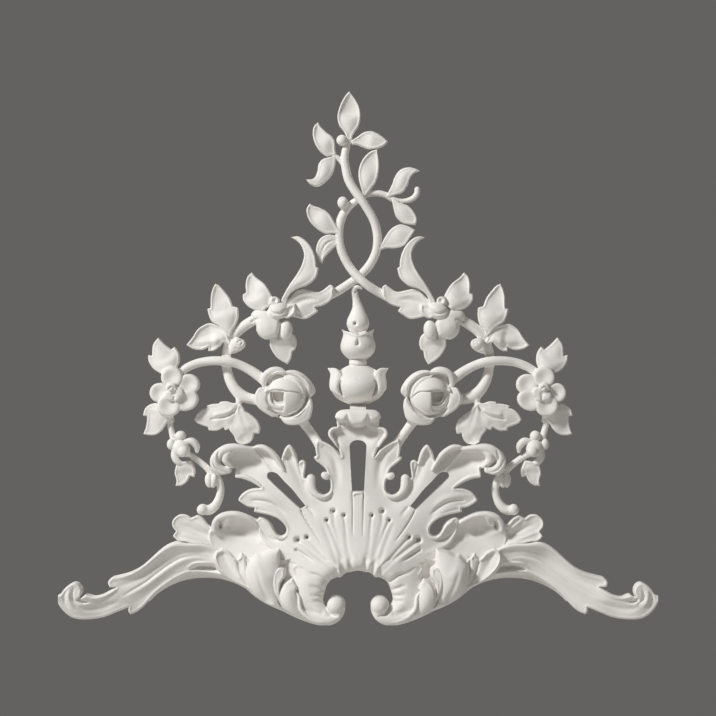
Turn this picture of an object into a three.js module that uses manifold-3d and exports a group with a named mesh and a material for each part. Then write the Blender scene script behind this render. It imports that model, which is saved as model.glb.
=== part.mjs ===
// A carved relief ornament: two vines over a shell and two scrolled arms, cast as one body with a
// flat back. The frame is the wall's: x runs along it, z up, the carving stands out towards -y,
// and the origin is on the flat back behind the middle of the shell.
import * as THREE from "three";
import { mergeVertices } from "three/addons/utils/BufferGeometryUtils.js";
import Module from "manifold-3d";

const wasm = await Module();
wasm.setup();

// Driving sizes, in millimetres.
const ornamentWidth = 598;
const reliefDepth = 58;
const vineWidth = 8.6;
const tendrilWidth = 4.6;
const petalRadius = 10.3;
const roseRadius = 19;
const slotWidth = 16.4;
const sideSlotWidth = 7.6;
const nailHoleWidth = 3;
const finestEdge = 1.2;

// The carver's drawing is laid out on a grid of squares across the width, and its depth on steps.
// It is drawn for the right half, as [out, up] from the middle of the shell.
const drawnSquares = 598;
const drawnSteps = 58;
const square = ornamentWidth / drawnSquares;
const step = reliefDepth / drawnSteps;
const plaster = new THREE.MeshStandardMaterial({ color: 0xeae8e3, roughness: 0.62, metalness: 0 });

// Every element is first modelled a little past the wall, and the back is then sawn flat.
const behind = 4;

// What cuts an opening stands higher than the highest carving.
const cutterHeight = 80;

const solids = [];
const cuts = [];

function solidOf(geometry) {
  const merged = mergeVertices(geometry, 1e-4);
  const corners = merged.index.array;
  const triVerts = [];
  for (let i = 0; i < corners.length; i += 3) {
    const [a, b, c] = corners.slice(i, i + 3);
    if (a !== b && b !== c && c !== a) triVerts.push(a, b, c);
  }
  return new wasm.Manifold(
    new wasm.Mesh({
      numProp: 3,
      vertProperties: merged.attributes.position.array,
      triVerts: new Uint32Array(triVerts),
      tolerance: finestEdge,
    }),
  );
}

function mirrored(triangles) {
  const flip = (p) => new THREE.Vector3(-p.x, p.y, p.z);
  return triangles.map(([a, b, c]) => [flip(a), flip(c), flip(b)]);
}

function keep(triangles, list = solids) {
  const geometry = new THREE.BufferGeometry().setFromPoints(triangles.flat());
  list.push(solidOf(geometry));
}

// A point of the drawing with its height above the wall.
function spot(out, up, height) {
  return new THREE.Vector3(out * square, -height * step, up * square);
}

// A closed body with a flat back: rows of points run from its base to its tip, side by side from
// left to right. Strips join each row to the next, and a wall drops from the rim to the back.
function slab(rows) {
  const triangles = [];
  for (let r = 0; r + 1 < rows.length; r++) {
    const [left, right] = [rows[r], rows[r + 1]];
    let [i, j] = [0, 0];
    while (i + 1 < left.length || j + 1 < right.length) {
      const nextLeft = i + 1 < left.length ? left[i + 1].t : Infinity;
      const nextRight = j + 1 < right.length ? right[j + 1].t : Infinity;
      if (nextLeft <= nextRight) triangles.push([left[i].p, right[j].p, left[++i].p]);
      else triangles.push([left[i].p, right[j].p, right[++j].p]);
    }
  }
  const flat = (p) => new THREE.Vector3(p.x, behind, p.z);
  triangles.push(...triangles.map(([a, b, c]) => [flat(c), flat(b), flat(a)]));
  const inner = rows.slice(1, -1);
  const rim = [
    ...rows[0],
    ...inner.map((row) => row.at(-1)),
    ...rows.at(-1).toReversed(),
    ...inner.map((row) => row[0]).toReversed(),
  ]
    .map((point) => point.p)
    .filter((p, i, all) => p.distanceTo(all.at(i - 1)) > 1e-3);
  rim.forEach((p, i) => {
    const before = rim.at(i - 1);
    triangles.push([before, p, flat(p)], [before, flat(p), flat(before)]);
  });
  return triangles;
}

// The value at share t of a list spread evenly from base to tip.
function along(list, t) {
  if (!Array.isArray(list)) return list;
  const place = t * (list.length - 1);
  const k = Math.min(Math.floor(place), list.length - 2);
  return THREE.MathUtils.lerp(list[k], list[k + 1], place - k);
}

function curveThrough(points) {
  const path = points.map(([out, up]) => new THREE.Vector3(out, up, 0));
  const curve = new THREE.CatmullRomCurve3(path, false, "centripetal");
  return (t) => {
    const [p, d] = [curve.getPoint(t), curve.getTangent(t)];
    return { out: p.x, up: p.y, aside: [-d.y, d.x] };
  };
}

// The angles at the corners of a half round, from its left edge to its right.
function halfRound(facets) {
  return Array.from({ length: facets + 1 }, (_, k) => Math.PI * (1 - k / facets));
}

// A round-topped strand along a curve. wide is its half width and high the height of its crest,
// each one value or a list from base to tip. crest is how far the crest stands above the edges.
function strand(points, wide, high, { crest = null, steps = 2 * points.length, facets = 3 } = {}) {
  const at = curveThrough(points);
  const rows = halfRound(facets).map((angle) =>
    Array.from({ length: steps + 1 }, (_, k) => {
      const t = k / steps;
      const { out, up, aside } = at(t);
      const [w, h] = [along(wide, t), along(high, t)];
      const shift = -w * Math.cos(angle);
      const drop = (along(crest, t) ?? Math.min(w, 0.8 * h)) * (1 - Math.sin(angle));
      return { t, p: spot(out + aside[0] * shift, up + aside[1] * shift, h - drop) };
    }),
  );
  return slab(rows);
}

// Where the rows of a panel run, as shares of the way from its left edge to its right.
const panelRows = [0, 0.3, 0.7, 1];

// A panel between two edges, each a curve from base to tip. crest is how far its middle stands
// above the edges, or lies below them where it is less than nothing.
function panel(left, right, high, { crest = 4, steps = 6 } = {}) {
  const [from, to] = [left, right].map((edge) => {
    const path = edge.map(([out, up]) => new THREE.Vector3(out, up, 0));
    return new THREE.CatmullRomCurve3(path, false, "centripetal");
  });
  const rows = panelRows.map((share) =>
    Array.from({ length: steps + 1 }, (_, k) => {
      const t = k / steps;
      const p = from.getPointAt(t).lerp(to.getPointAt(t), share);
      const h = along(high, t) - (share % 1 === 0 ? along(crest, t) : 0);
      return { t, p: spot(p.x, p.y, h) };
    }),
  );
  return slab(rows);
}

// A leaf's edge draws in at each notch, and the next lobe swells out just past it.
const notchShare = 0.76;
const lobeSwell = 1.02;
const lobeStart = 0.05;
const ribPlaces = [0, 0.35, 0.7, 1];

// A leaf from its base to its tip. bend bows the midrib to the left, wide is the half width on the
// left and right, and teeth are the places along each side where a lobe ends in a point.
function leaf(base, tip, { bend = 0, wide, teeth = [[], []], high, rise = 5, edge = -4, peak = 0.38 }) {
  const [dx, dz] = [tip[0] - base[0], tip[1] - base[1]];
  const middle = [(base[0] + tip[0]) / 2 - dz * bend, (base[1] + tip[1]) / 2 + dx * bend];
  const at = curveThrough([base, middle, tip]);
  const power = Math.log(0.5) / Math.log(peak);
  const swell = (t) => Math.sin(Math.PI * Math.min(t, 1) ** power) ** 0.8;
  const arch = (t) => Math.sin(Math.PI * t);
  const crestAt = (t) => along(high, t) + rise * arch(t);
  const side = (sign, half, points) => {
    const ends = [0.1, ...points, 1];
    const stations = [];
    ends.slice(1).forEach((end, k) => {
      const start = ends[k];
      const halfway = (start + end) / 2;
      stations.push([k === 0 ? 0 : start, half * swell(start) * (k === 0 ? 1 : notchShare)]);
      stations.push([halfway, half * swell(halfway)]);
      if (end < 1) stations.push([end + lobeStart, half * swell(end) * lobeSwell]);
      else if (k === 0) stations.push([0.8, half * swell(0.8)]);
    });
    stations.push([1, 0]);
    let run = 0;
    return stations.map(([t, offset]) => {
      const { out, up, aside } = at(t);
      run = Math.max(run, t);
      const shift = sign * offset;
      const height = crestAt(t) + edge * arch(t);
      return { t: run, p: spot(out + aside[0] * shift, up + aside[1] * shift, height) };
    });
  };
  const [left, right] = [side(1, wide[0], teeth[0]), side(-1, wide[1], teeth[1])];
  const rib = ribPlaces.map((t) => {
    const { out, up } = at(t);
    return { t, p: spot(out, up, crestAt(t)) };
  });
  return slab([left, rib, right]);
}

// A rounded knob on straight sides: an ellipse turned by an angle in the drawing.
function dome([out, up], [across, tall], high, { turn = 0, crest = Math.min(across, tall), sides = 6 } = {}) {
  const ring = (share, height) =>
    Array.from({ length: sides + 1 }, (_, k) => {
      const angle = (2 * Math.PI * (k % sides)) / sides;
      const [x, z] = [across * share * Math.cos(angle), tall * share * Math.sin(angle)];
      const [c, s] = [Math.cos(turn), Math.sin(turn)];
      return spot(out + c * x - s * z, up + s * x + c * z, height);
    });
  return knob([ring(1, high - crest), ring(0.66, high - 0.25 * crest)], spot(out, up, high));
}

// Two closed rings of points and a top, on straight sides.
function knob([rim, shoulder], top) {
  const flat = (p) => new THREE.Vector3(p.x, behind, p.z);
  const middle = flat(top);
  const triangles = [];
  for (let k = 0; k + 1 < rim.length; k++) {
    const [a, b] = [rim[k], rim[k + 1]];
    const [c, d] = [shoulder[k], shoulder[k + 1]];
    triangles.push([a, b, d], [a, d, c], [c, d, top]);
    triangles.push([flat(a), flat(b), b], [flat(a), b, a], [flat(b), flat(a), middle]);
  }
  return triangles;
}

// A flower of equal petals round its middle: the rim is scalloped and the petals are cupped.
function rosette([out, up], radius, high, { petals = 5, turn = 0, depth = 0.34, cup = 4, points = 4 } = {}) {
  const count = petals * points;
  const ring = (share, scallop, height) =>
    Array.from({ length: count + 1 }, (_, k) => {
      const angle = turn + (2 * Math.PI * (k % count)) / count;
      const swell = Math.abs(Math.sin((petals * (angle - turn)) / 2)) ** 0.6;
      const reach = radius * share * (1 - scallop * (1 - swell));
      return spot(out + reach * Math.cos(angle), up + reach * Math.sin(angle), height);
    });
  return knob([ring(1, depth, high - cup), ring(0.62, depth * 0.5, high)], spot(out, up, high - cup * 0.6));
}

// Both halves carry the same piece, or it stands once, on the middle or on the vine.
function pair(triangles) {
  keep(triangles);
  keep(mirrored(triangles));
}

const vine = vineWidth / 2 / square;
const tendril = tendrilWidth / 2 / square;
const petal = petalRadius / square;
const rose = roseRadius / square;

// The top vine: two stems that cross twice, with leaves of its own on each side.
const overStem = [
  [-8.5, 394], [-13, 371], [-9, 350], [4, 330], [17, 310], [19, 292], [17, 276], [5, 258], [-6, 249],
  [-21, 239], [-30, 233],
];
keep(strand(overStem, [2.8, 3.6, vine, vine, vine, vine, vine, vine, vine, vine, 3.2], [
  17, 18, 20, 24, 22, 21, 20, 17, 17, 18, 18,
], { steps: 11 }));
const underStem = [
  [34, 331], [20, 335], [5, 334], [-5, 328], [-16, 313], [-19, 298], [-17, 280], [-7, 261], [10, 245],
  [28, 233],
];
keep(strand(underStem, [3, 3.1, 3.4, vine, vine, vine, vine, vine, vine, 3.2], [
  17, 17, 15, 15, 19, 20, 21, 25, 20, 18,
], { steps: 10 }));
keep(leaf([-8, 389], [-9, 438], { wide: [11.8, 11.8], high: [16, 18], peak: 0.52 }));
keep(dome([-16, 389], [5.4, 5.4], 22));
keep(dome([-15, 326.5], [5.5, 6], 24));
keep(leaf([-5, 388], [31, 388.5], { wide: [10, 8], high: [17, 20] }));
keep(strand([[-15, 370], [-20, 373.5], [-26, 374]], 2.6, 17, { steps: 2 }));
keep(leaf([-25, 374], [-39, 407], { bend: 0.05, wide: [11, 9.5], high: [16, 18], peak: 0.45 }));
keep(leaf([-25, 371], [-51.5, 349.5], { bend: 0.17, wide: [10.5, 8.5], high: [16, 20] }));
keep(leaf([6.5, 335], [19, 379], { bend: 0.07, wide: [10, 10.5], high: [18, 20], peak: 0.5 }));
keep(leaf([32, 336], [61, 359], { bend: 0.07, wide: [9.5, 9], high: [17, 20], peak: 0.45 }));
keep(strand([[33, 332], [41, 329], [48, 329.5], [55, 333], [59.5, 341.5]], [2, 2, tendril, 2.9], 17, { steps: 5 }));
keep(leaf([34, 328], [58, 305], { bend: -0.03, wide: [9, 9], high: [17, 20], peak: 0.45 }));
keep(leaf([22, 282], [57, 299], { bend: 0.09, wide: [8.8, 8.8], high: [17, 20], peak: 0.45 }));
keep(leaf([-24, 298], [-48, 326], { bend: 0.07, wide: [9.5, 9.5], high: [17, 20], peak: 0.5 }));
keep(leaf([-23, 290], [-36, 266.5], { bend: -0.14, wide: [7.5, 8.5], high: [17, 20], peak: 0.5 }));

// The leaves and the blossom where each vine opens from the top one.
pair(strand([[75, 224], [62, 245], [51, 256], [47, 268], [51, 282], [66, 292]], [3, 6, 9.5, 6.5, 4, 1.2], [
  24, 27, 28, 26, 23, 20,
], { crest: 4, steps: 6 }));
pair(leaf([70, 220], [25, 241], { bend: 0.06, wide: [14, 12.5], teeth: [[0.5], []], high: [24, 20], peak: 0.46 }));
pair(leaf([89, 220], [106, 257], { bend: -0.1, wide: [13, 13], teeth: [[], [0.42]], high: [24, 20] }));
pair(dome([83, 229], [4.8, 4.8], 34));
pair(dome([79, 217.5], [12.5, 12], 32, { sides: 8 }));
pair(dome([67.5, 219.5], [6, 6], 29));
pair(dome([103, 215], [5, 4.5], 27));
pair(strand([[104, 219], [95, 208], [88, 198]], [5.5, 12, 6], [27, 31, 28], { crest: 5, steps: 4 }));
pair(dome([72, 200], [6.5, 10], 30, { turn: 0.1 }));
pair(leaf([76, 202], [69.5, 164.5], { wide: [13, 14], teeth: [[], [0.55]], high: [24, 19] }));

// The leaf pair on the outer bend, with its bud.
pair(leaf([129, 197], [142, 247], { wide: [16, 14.5], teeth: [[0.5], [0.46]], high: [24, 19] }));
pair(leaf([130, 193], [171, 185], { bend: 0.1, wide: [14, 13.5], teeth: [[0.5], [0.5]], high: [24, 19] }));
pair(dome([120, 186], [7, 7], 30));

// The stems of one side.
pair(strand([[104, 208], [120, 198], [131, 180], [131.5, 157.5], [123, 139], [101, 132]], vine, [
  24, 22, 16, 17, 20, 22,
], { steps: 8 }));
pair(strand([[176, 158], [158, 167], [138, 169.5], [118, 165], [96, 151]], [vine, vine, vine, vine, 5], [
  22, 22, 26, 24, 26,
], { steps: 6 }));
pair(strand([[54, 108], [49, 100], [38, 84]], vine, [26, 25, 28], { steps: 2 }));
pair(strand([[119, 130], [118, 122]], 3, 20, { steps: 1 }));

// Two three-lobed leaves under the rose stem.
pair(leaf([119, 123], [163, 111], {
  bend: -0.11, wide: [14, 15], teeth: [[0.38, 0.68], [0.32, 0.7]], high: [22, 18],
}));
pair(leaf([118, 124], [114, 86], {
  bend: -0.1, wide: [13.5, 15.5], teeth: [[0.66], [0.66]], high: [22, 18], peak: 0.58,
}));

// The open flower: five petals, a three-lobed boss and a bud.
const flower = [184, 139];
pair(rosette(flower, 2.45 * petal, 29, { turn: 0.45 }));
pair(rosette([flower[0], flower[1] - 2], 0.98 * petal, 33, { petals: 3, turn: 0.2, depth: 0.25, cup: 3 }));
pair(dome([flower[0] + 0.6, flower[1] + 1.4], [3.6, 3.6], 36, { sides: 6 }));
pair(leaf([188, 155], [199, 193], {
  bend: -0.04, wide: [16, 13.5], teeth: [[0.62], [0.5]], high: [22, 18], peak: 0.45,
}));
pair(leaf([191, 120], [213.5, 97.5], { wide: [16, 11.5], teeth: [[0.5], []], high: [22, 18], peak: 0.45 }));
pair(dome([186.5, 109.5], [3, 3], 20, { sides: 6 }));

// The side chain: stem, bud, leaf, cleft bud and the curled tendril.
pair(strand([[188, 110], [187, 98], [184, 90]], 3.2, 19, { steps: 2 }));
pair(dome([174.5, 81.5], [8, 8], 28));
pair(dome([186, 85], [5.4, 5], 26));
pair(dome([177, 93.5], [5.5, 4.5], 26, { sides: 6 }));
pair(strand([[172, 93], [162, 87], [160, 79], [166, 77]], [2.5, 4, 3.5, 2], 25, { steps: 3 }));
pair(strand([[186, 80], [183, 70], [175, 66.5]], [3, 4, 2.5], 25, { steps: 2 }));
pair(leaf([173, 76], [181, 45], {
  bend: -0.04, wide: [9, 11.5], teeth: [[], [0.6]], high: [21, 18], peak: 0.5,
}));
pair(strand([[171, 78], [160, 69.5], [153, 63.5], [147, 57]], 3.4, 19, { steps: 3 }));
pair(dome([149.5, 48.5], [3.4, 7.5], 23, { turn: 0.15, sides: 7 }));
pair(dome([143.5, 49], [3.4, 7], 23, { turn: -0.1, sides: 7 }));
pair(strand([[145, 55], [137.5, 38], [139, 27], [145, 18.5], [154, 17.5]], [3.2, 3.8, 4.4, 4.6, 3.6], 20, { steps: 6 }));
pair(dome([154.5, 21], [5, 5], 24, { sides: 8 }));

// The rose: nested caps on a round heart, and four turned-out petals round it.
const roseHeart = [71, 134];
pair(dome(roseHeart, [rose, rose * 0.98], 41, { crest: 15, sides: 12 }));
pair(dome([77, 132], [12.5, 9], 43, { crest: 4, sides: 9 }));
pair(dome([63, 128], [10, 11], 43.5, { crest: 6, sides: 8 }));
pair(dome([72, 133], [24, 22], 30, { crest: 2, sides: 10 }));
const rosePetals = [
  [[92, 142], [92, 153], [83, 158], [74, 154]],
  [[72, 156], [61, 156], [51, 147], [46, 136]],
  [[50, 133], [51, 121], [60, 112], [76, 110]],
  [[93, 143], [98, 132], [93, 121], [79, 118]],
];
for (const path of rosePetals) {
  pair(strand(path, [4, 5.2, 5.2, 4], [29, 33, 33, 30], { crest: 4, steps: 3, facets: 2 }));
}

// The finial, turned and then halved: hook, drop, tulip cup, collars and urn.
const finialBase = 6;
function turned(profile, { lean = 0 } = {}) {
  const [bottom, top] = [profile[0][0], profile.at(-1)[0]];
  const rows = halfRound(3).map((angle) =>
    profile.map(([up, radius]) => {
      const share = (up - bottom) / (top - bottom);
      const out = radius * Math.cos(angle) + lean * share ** 3;
      return { t: share, p: spot(out, up, finialBase + radius * (0.25 + Math.sin(angle))) };
    }),
  );
  return slab(rows);
}
keep(turned([[115, 9], [120, 8], [127, 8], [128, 8.5]]));
keep(turned([
  [126, 9], [128, 15], [131, 20.5], [137, 26], [146, 27.7], [155, 28.5], [158.5, 25], [161, 16], [165, 8.5],
]));
for (const side of [1, -1]) {
  keep(leaf([side * 24, 147], [side * 30.5, 162], { wide: [5, 5], high: [24, 20], rise: 2, edge: -1 }));
}
keep(turned([[164, 8], [165, 9.2], [170, 9.2], [171.5, 7.5]]));
keep(turned([[170.5, 8], [176, 13], [184, 17.6], [190, 16], [195.5, 14.6], [196, 6]]));
for (const side of [1, -1]) {
  keep(leaf([side * 12, 186], [side * 16.4, 201], { wide: [4, 4], high: [20, 17], rise: 2, edge: -1 }));
}
keep(turned([[194, 6], [198, 9.5], [206, 11.5], [213, 10.2], [221, 6], [230, 3.7], [238, 3.2]], { lean: 0.5 }));
keep(strand([[0.5, 236], [1, 241], [-3, 243], [-5, 240]], [3.2, 3, 2.6, 1.6], 14, { steps: 3 }));

// The fan: lobes that spread from the throat, each between an inner and an outer edge.
const lobes = [
  {
    inner: [[0, -36], [0, 30], [0, 70], [0, 108]],
    outer: [[15, -41], [17, 30], [17, 76], [28, 92], [30, 98], [22, 105], [19, 112]],
    high: [53, 46, 38, 34, 36, 40],
  },
  {
    inner: [[12, -40], [13, 30], [16, 74], [22, 84], [32, 89], [39, 90.5]],
    outer: [[24, -45], [29, 20], [31, 42], [31, 61], [40, 71], [43, 82], [39, 90.5]],
    high: [52, 44, 38, 34, 34, 31],
  },
  {
    inner: [[18, -44], [23, 20], [28, 32], [44, 38], [52.5, 56], [54, 70], [60, 78], [68.5, 86.5]],
    outer: [[35, -50], [55, 12], [68, 38], [78, 69], [74, 81], [68.5, 86.5]],
    high: [51, 42, 36, 34, 33, 31],
  },
  {
    inner: [[28, -48], [46, 12], [64, 41], [77, 70], [90, 83], [102, 85], [114, 86], [127, 86]],
    outer: [[48, -54], [68, 4], [84, 27], [96, 42], [109, 49], [122, 53], [121, 61], [131, 61]],
    high: [50, 42, 36, 30, 27, 26],
    crest: [5, 5, 4, 0, -4, -6],
  },
  {
    inner: [[40, -50], [58, 5], [78, 28], [96, 42.5], [108, 42], [117, 36], [119, 30]],
    outer: [[62, -56], [68, -12], [80, 9], [94, 16.5], [102, 18], [108, 23], [118.5, 28.5]],
    high: [49, 42, 36, 33, 31, 29],
  },
];
for (const { inner, outer, high, crest = 5 } of lobes) pair(panel(inner, outer, high, { crest, steps: 7 }));
keep(strand([[0, -38], [0, 0], [0, 39]], [5, 6, 5.2], [56, 50, 38], { crest: 4, steps: 2 }));
pair(leaf([33, 58], [44.5, 72.5], { wide: [4, 3.4], high: [33, 30], rise: 2, edge: -1 }));
pair(dome([33.5, 53], [3.8, 5.2], 34));
pair(dome([46, 49], [5, 7.5], 34, { turn: -0.3 }));

// The crown under the finial, a rolled and scalloped lip.
keep(dome([0, 111.5], [9, 7.5], 44, { sides: 10 }));
pair(dome([13, 113], [8.5, 7.2], 43, { sides: 9 }));
pair(dome([21, 110], [4, 4.5], 40, { sides: 6 }));
keep(strand([[-17, 107], [0, 104], [17, 107]], 9, 34, { crest: 4, steps: 2 }));

// The big scroll: a rolled rim that ends in a curled knob.
pair(strand([[88, 80], [104, 82.5], [122, 85.5], [134, 81.5], [139.5, 73], [137, 63.5]], [
  3, 2.6, 3.6, 4.5, 5.5, 6.5,
], [33, 34, 36, 37, 38, 38], { crest: 3, steps: 6, facets: 2 }));
pair(dome([138.5, 64], [8.5, 8.5], 39, { sides: 9 }));

// The lower scroll over its hollow, and the small roll round the inlet.
pair(strand([[97, 11], [111, 14.5], [122, 17.3], [134, 15], [142, 8], [144.5, -3]], [
  3, 2.6, 2.8, 4, 5, 4,
], [34, 34, 35, 35, 34, 30], { crest: 3, steps: 6, facets: 2 }));
pair(strand([[97, 9], [90, 7], [85, -2], [77, -6.5], [69, -2]], [3.6, 4, 3.5, 3, 3], 34, {
  crest: 3, steps: 4, facets: 2,
}));

// The hollow shell behind the lower scroll, running out into the arm.
pair(panel(
  [[58, -14], [74, -5], [97, 8], [111, 14.5], [123, 18], [135, 15], [146, 3], [152, -10], [182, -12], [205, -26]],
  [[64, -84], [78, -79], [98, -67], [123, -56], [143, -50], [160, -48.5], [178, -51.5], [206, -68]],
  [40, 36, 27, 22, 22, 22, 22],
  { crest: [0, -3, -6, -6, -2, 0, 2], steps: 9 },
));

// The spiky leaf beside the scroll.
for (const [base, tip, wide] of [
  [[148, -14], [161, 16], 7.5],
  [[154, -16], [184, 13], 8.5],
  [[160, -20], [185, -5], 6.5],
]) {
  pair(leaf(base, tip, { wide: [wide, wide], high: [26, 24], rise: 3, edge: -2, peak: 0.55 }));
}

// The arm: three leaves side by side that end one after the other, and the curled tip.
pair(strand([[162, -24], [190, -24], [208, -38], [226, -49], [240, -51], [247, -52]], [9, 9, 9.5, 8, 6, 3.2], [
  27, 29, 29, 27, 26, 25,
], { crest: 4, steps: 5 }));
pair(strand([[150, -34], [186, -36], [208, -51], [228, -64], [250, -74], [272, -77], [286, -76]], [
  9, 9, 9, 10, 11, 11, 10.5,
], [26, 27, 27, 27, 28, 30, 31], { crest: 4, steps: 7 }));
pair(strand([[120, -42], [160, -40], [186, -44], [204, -58], [218, -74], [227, -81]], [12, 8.5, 9, 9, 8, 3], [
  28, 27, 26, 25, 24, 22,
], { crest: 4, steps: 6 }));
pair(strand([[280, -76], [291, -74], [292, -64], [283, -57]], [10, 9, 7, 5.5], [31, 33, 35, 36], { crest: 5, steps: 3 }));

// The trunk that rolls forward from the shell into the volute.
pair(panel(
  [[90, -24], [92, -54], [84, -75], [68, -84], [48, -91.5], [34, -93], [21, -88.5], [13.5, -80]],
  [[30, -24], [28, -48], [31, -57], [34, -66], [33.5, -71], [31, -74.5], [28, -77], [25, -77]],
  [40, 48, 52, 54, 55, 54, 50],
  { crest: [4, 10, 14, 14, 14, 10, 8], steps: 8 },
));
pair(dome([22, -76], [9.6, 9.6], 57, { sides: 11 }));
keep(strand([[-30, -37], [-15, -33], [0, -31], [15, -33], [30, -37]], [12, 10, 8.4, 10, 12], 55, {
  crest: 12, steps: 6,
}));

// Three leaves laid over the lower edge of the shell.
pair(panel(
  [[90, -68], [108, -48], [115, -29], [121, -26], [129, -19.5], [136, -18], [141, -19]],
  [[108, -62], [123, -55], [134, -42], [141, -30], [142, -22], [141, -19]],
  [34, 36, 36, 33, 30], { crest: 3 },
));
pair(panel(
  [[74, -78], [80, -62], [78, -48], [73.5, -40], [77, -34], [78, -26], [79, -18]],
  [[92, -70], [106, -58], [109, -42], [106, -28], [98, -23], [87, -19.5], [79, -18]],
  [42, 46, 46, 42, 38], { crest: 5, steps: 6 },
));
pair(panel(
  [[54, -86], [59, -76], [58, -65], [62, -58], [65, -47]],
  [[66, -84.5], [74, -75], [77, -66], [75, -55], [65, -47]],
  [50, 53, 54, 52, 48], { crest: 5 },
));

// Openings that pass right through: the tall slot, the side slots, the round eyes and the inlets.
function opening(points, wide) {
  return strand(points, wide, cutterHeight, { crest: 2, steps: 3 * points.length });
}
const slotHalf = slotWidth / 2 / square;
const sideSlotHalf = sideSlotWidth / 2 / square;
const throughBack = 2 * behind;

function cut(triangles, both) {
  const shifted = (list) => list.map((t) => t.map((p) => new THREE.Vector3(p.x, p.y + throughBack, p.z)));
  keep(shifted(triangles), cuts);
  if (both) keep(shifted(mirrored(triangles)), cuts);
}
cut(opening([[0, 39.5], [0, 60], [0, 84], [0, 90]], [5.4, 6.8, slotHalf, 4.5]), false);
cut(opening([[53.5, 23], [70, 38.5], [84, 53], [87, 56]], [
  0.86 * sideSlotHalf, sideSlotHalf, sideSlotHalf, 2,
]), true);
cut(dome([35, 43], [7.6, 6.6], cutterHeight, { crest: 2, sides: 12 }), true);
cut(opening([[102, 14], [92, 13], [83, 8], [77, 1]], [0.8, 2.4, 4.6, 5.2]), true);
cut(dome([77, 1], [5.4, 5.4], cutterHeight, { crest: 2, sides: 10 }), true);
const nailHole = nailHoleWidth / 2 / square;
cut(dome([-2.5, 206.5], [nailHole, nailHole], cutterHeight, { crest: 1, sides: 8 }), false);

let body = solids[0];
for (const solid of solids.slice(1)) body = body.add(solid);
for (const hole of cuts) body = body.subtract(hole);
const saw = new THREE.BoxGeometry(2 * ornamentWidth, 4 * behind, 2 * ornamentWidth).translate(0, 2 * behind, 0);
saw.deleteAttribute("normal");
saw.deleteAttribute("uv");
body = body.subtract(solidOf(saw.toNonIndexed()));

const made = body.getMesh();
const geometry = new THREE.BufferGeometry();
geometry.setAttribute("position", new THREE.BufferAttribute(made.vertProperties, 3));
geometry.setIndex(new THREE.BufferAttribute(made.triVerts, 1));
geometry.computeVertexNormals();

const ornament = new THREE.Mesh(geometry, plaster);
ornament.name = "ornament";

const part = new THREE.Group();
part.add(ornament);
export default part;
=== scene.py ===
import math

import bpy
import numpy as np
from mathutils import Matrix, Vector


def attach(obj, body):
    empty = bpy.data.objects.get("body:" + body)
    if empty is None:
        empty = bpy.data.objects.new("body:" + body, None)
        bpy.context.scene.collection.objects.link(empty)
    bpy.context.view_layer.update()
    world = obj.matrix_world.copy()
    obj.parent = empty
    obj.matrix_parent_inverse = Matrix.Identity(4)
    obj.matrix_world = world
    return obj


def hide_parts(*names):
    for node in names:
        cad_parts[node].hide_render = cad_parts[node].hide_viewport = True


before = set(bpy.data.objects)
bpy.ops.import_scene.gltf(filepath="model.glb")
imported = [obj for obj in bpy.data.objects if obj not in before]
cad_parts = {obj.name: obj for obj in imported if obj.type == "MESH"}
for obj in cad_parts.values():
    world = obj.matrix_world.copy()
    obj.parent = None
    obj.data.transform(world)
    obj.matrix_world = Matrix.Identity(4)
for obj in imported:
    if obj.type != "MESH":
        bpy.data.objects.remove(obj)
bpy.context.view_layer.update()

# ---- The camera and the studio ----
# The camera looks straight at the relief with a long lens, as the picture does, and the picture
# is 716 mm wide at the wall.
picture_width = 0.716
camera_distance = 5.0
camera_height = 0.172
bpy.ops.object.camera_add(location=(0, -camera_distance, camera_height), rotation=(math.pi / 2, 0, 0))
camera = bpy.context.object
camera.data.sensor_width = 36
camera.data.lens = 36 * camera_distance / picture_width
camera.data.clip_end = 40
bpy.context.scene.camera = camera

# A plain pale floor lies well below the ornament.
floor_level = -0.55
bpy.ops.mesh.primitive_circle_add(vertices=96, radius=3.2, fill_type="NGON", location=(0, 0, floor_level))
floor = bpy.context.object
floor.name = "floor"
floor_paint = bpy.data.materials.new("pale floor")
floor_paint.use_nodes = True
floor_finish = floor_paint.node_tree.nodes["Principled BSDF"].inputs
floor_finish["Base Color"].default_value = (0.72, 0.71, 0.69, 1)
floor_finish["Roughness"].default_value = 0.8
floor.data.materials.append(floor_paint)

world = bpy.data.worlds.new("studio")
world.use_nodes = True
air = world.node_tree.nodes["Background"].inputs
air["Color"].default_value = (0.125, 0.122, 0.117, 1)
air["Strength"].default_value = 1.0
bpy.context.scene.world = world
bpy.context.scene.view_settings.view_transform = "Standard"

# The brightest soft box stands up on the left, so the shade falls down and to the right. A weak one
# fills the shade from low on the right, and one lights the back.
for name, place, size, power in (
    ("key light", (-2.9, -2.35, 2.9), 0.7, 188),
    ("fill light", (0.9, -4.2, 0.6), 2.6, 5),
    ("back light", (-0.8, 3.4, 1.8), 2.6, 24),
):
    bpy.ops.object.light_add(type="AREA", location=place)
    lamp = bpy.context.object
    lamp.name = name
    lamp.data.size = size
    lamp.data.energy = power
    aim = Vector((0, 0, camera_height)) - Vector(place)
    lamp.rotation_euler = aim.to_track_quat("-Z", "Y").to_euler()

# ---- The top vine ----
# Two plaster stems as thick as a pencil cross twice and carry their own leaves, berries and a tendril.
# The whole ornament is one casting, so its front is carved here as one surface: a height in
# millimetres over each point of the drawing, which is laid out from the middle of the shell.
grain = 0.65
board_half, board_foot, board_top = 300, -95, 441
columns = 2 * int(board_half / grain) + 1
across = (np.arange(columns) - columns // 2) * grain
upward = np.arange(board_foot, board_top, grain)
ground, nowhere = 3.0, -9.0
height = np.full((len(upward), columns), ground)
inside = np.full((len(upward), columns), nowhere)

# The sides of an element fall by the draft over each millimetre outside its edge, as far as the skirt.
draft = 5
skirt = 5


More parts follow.
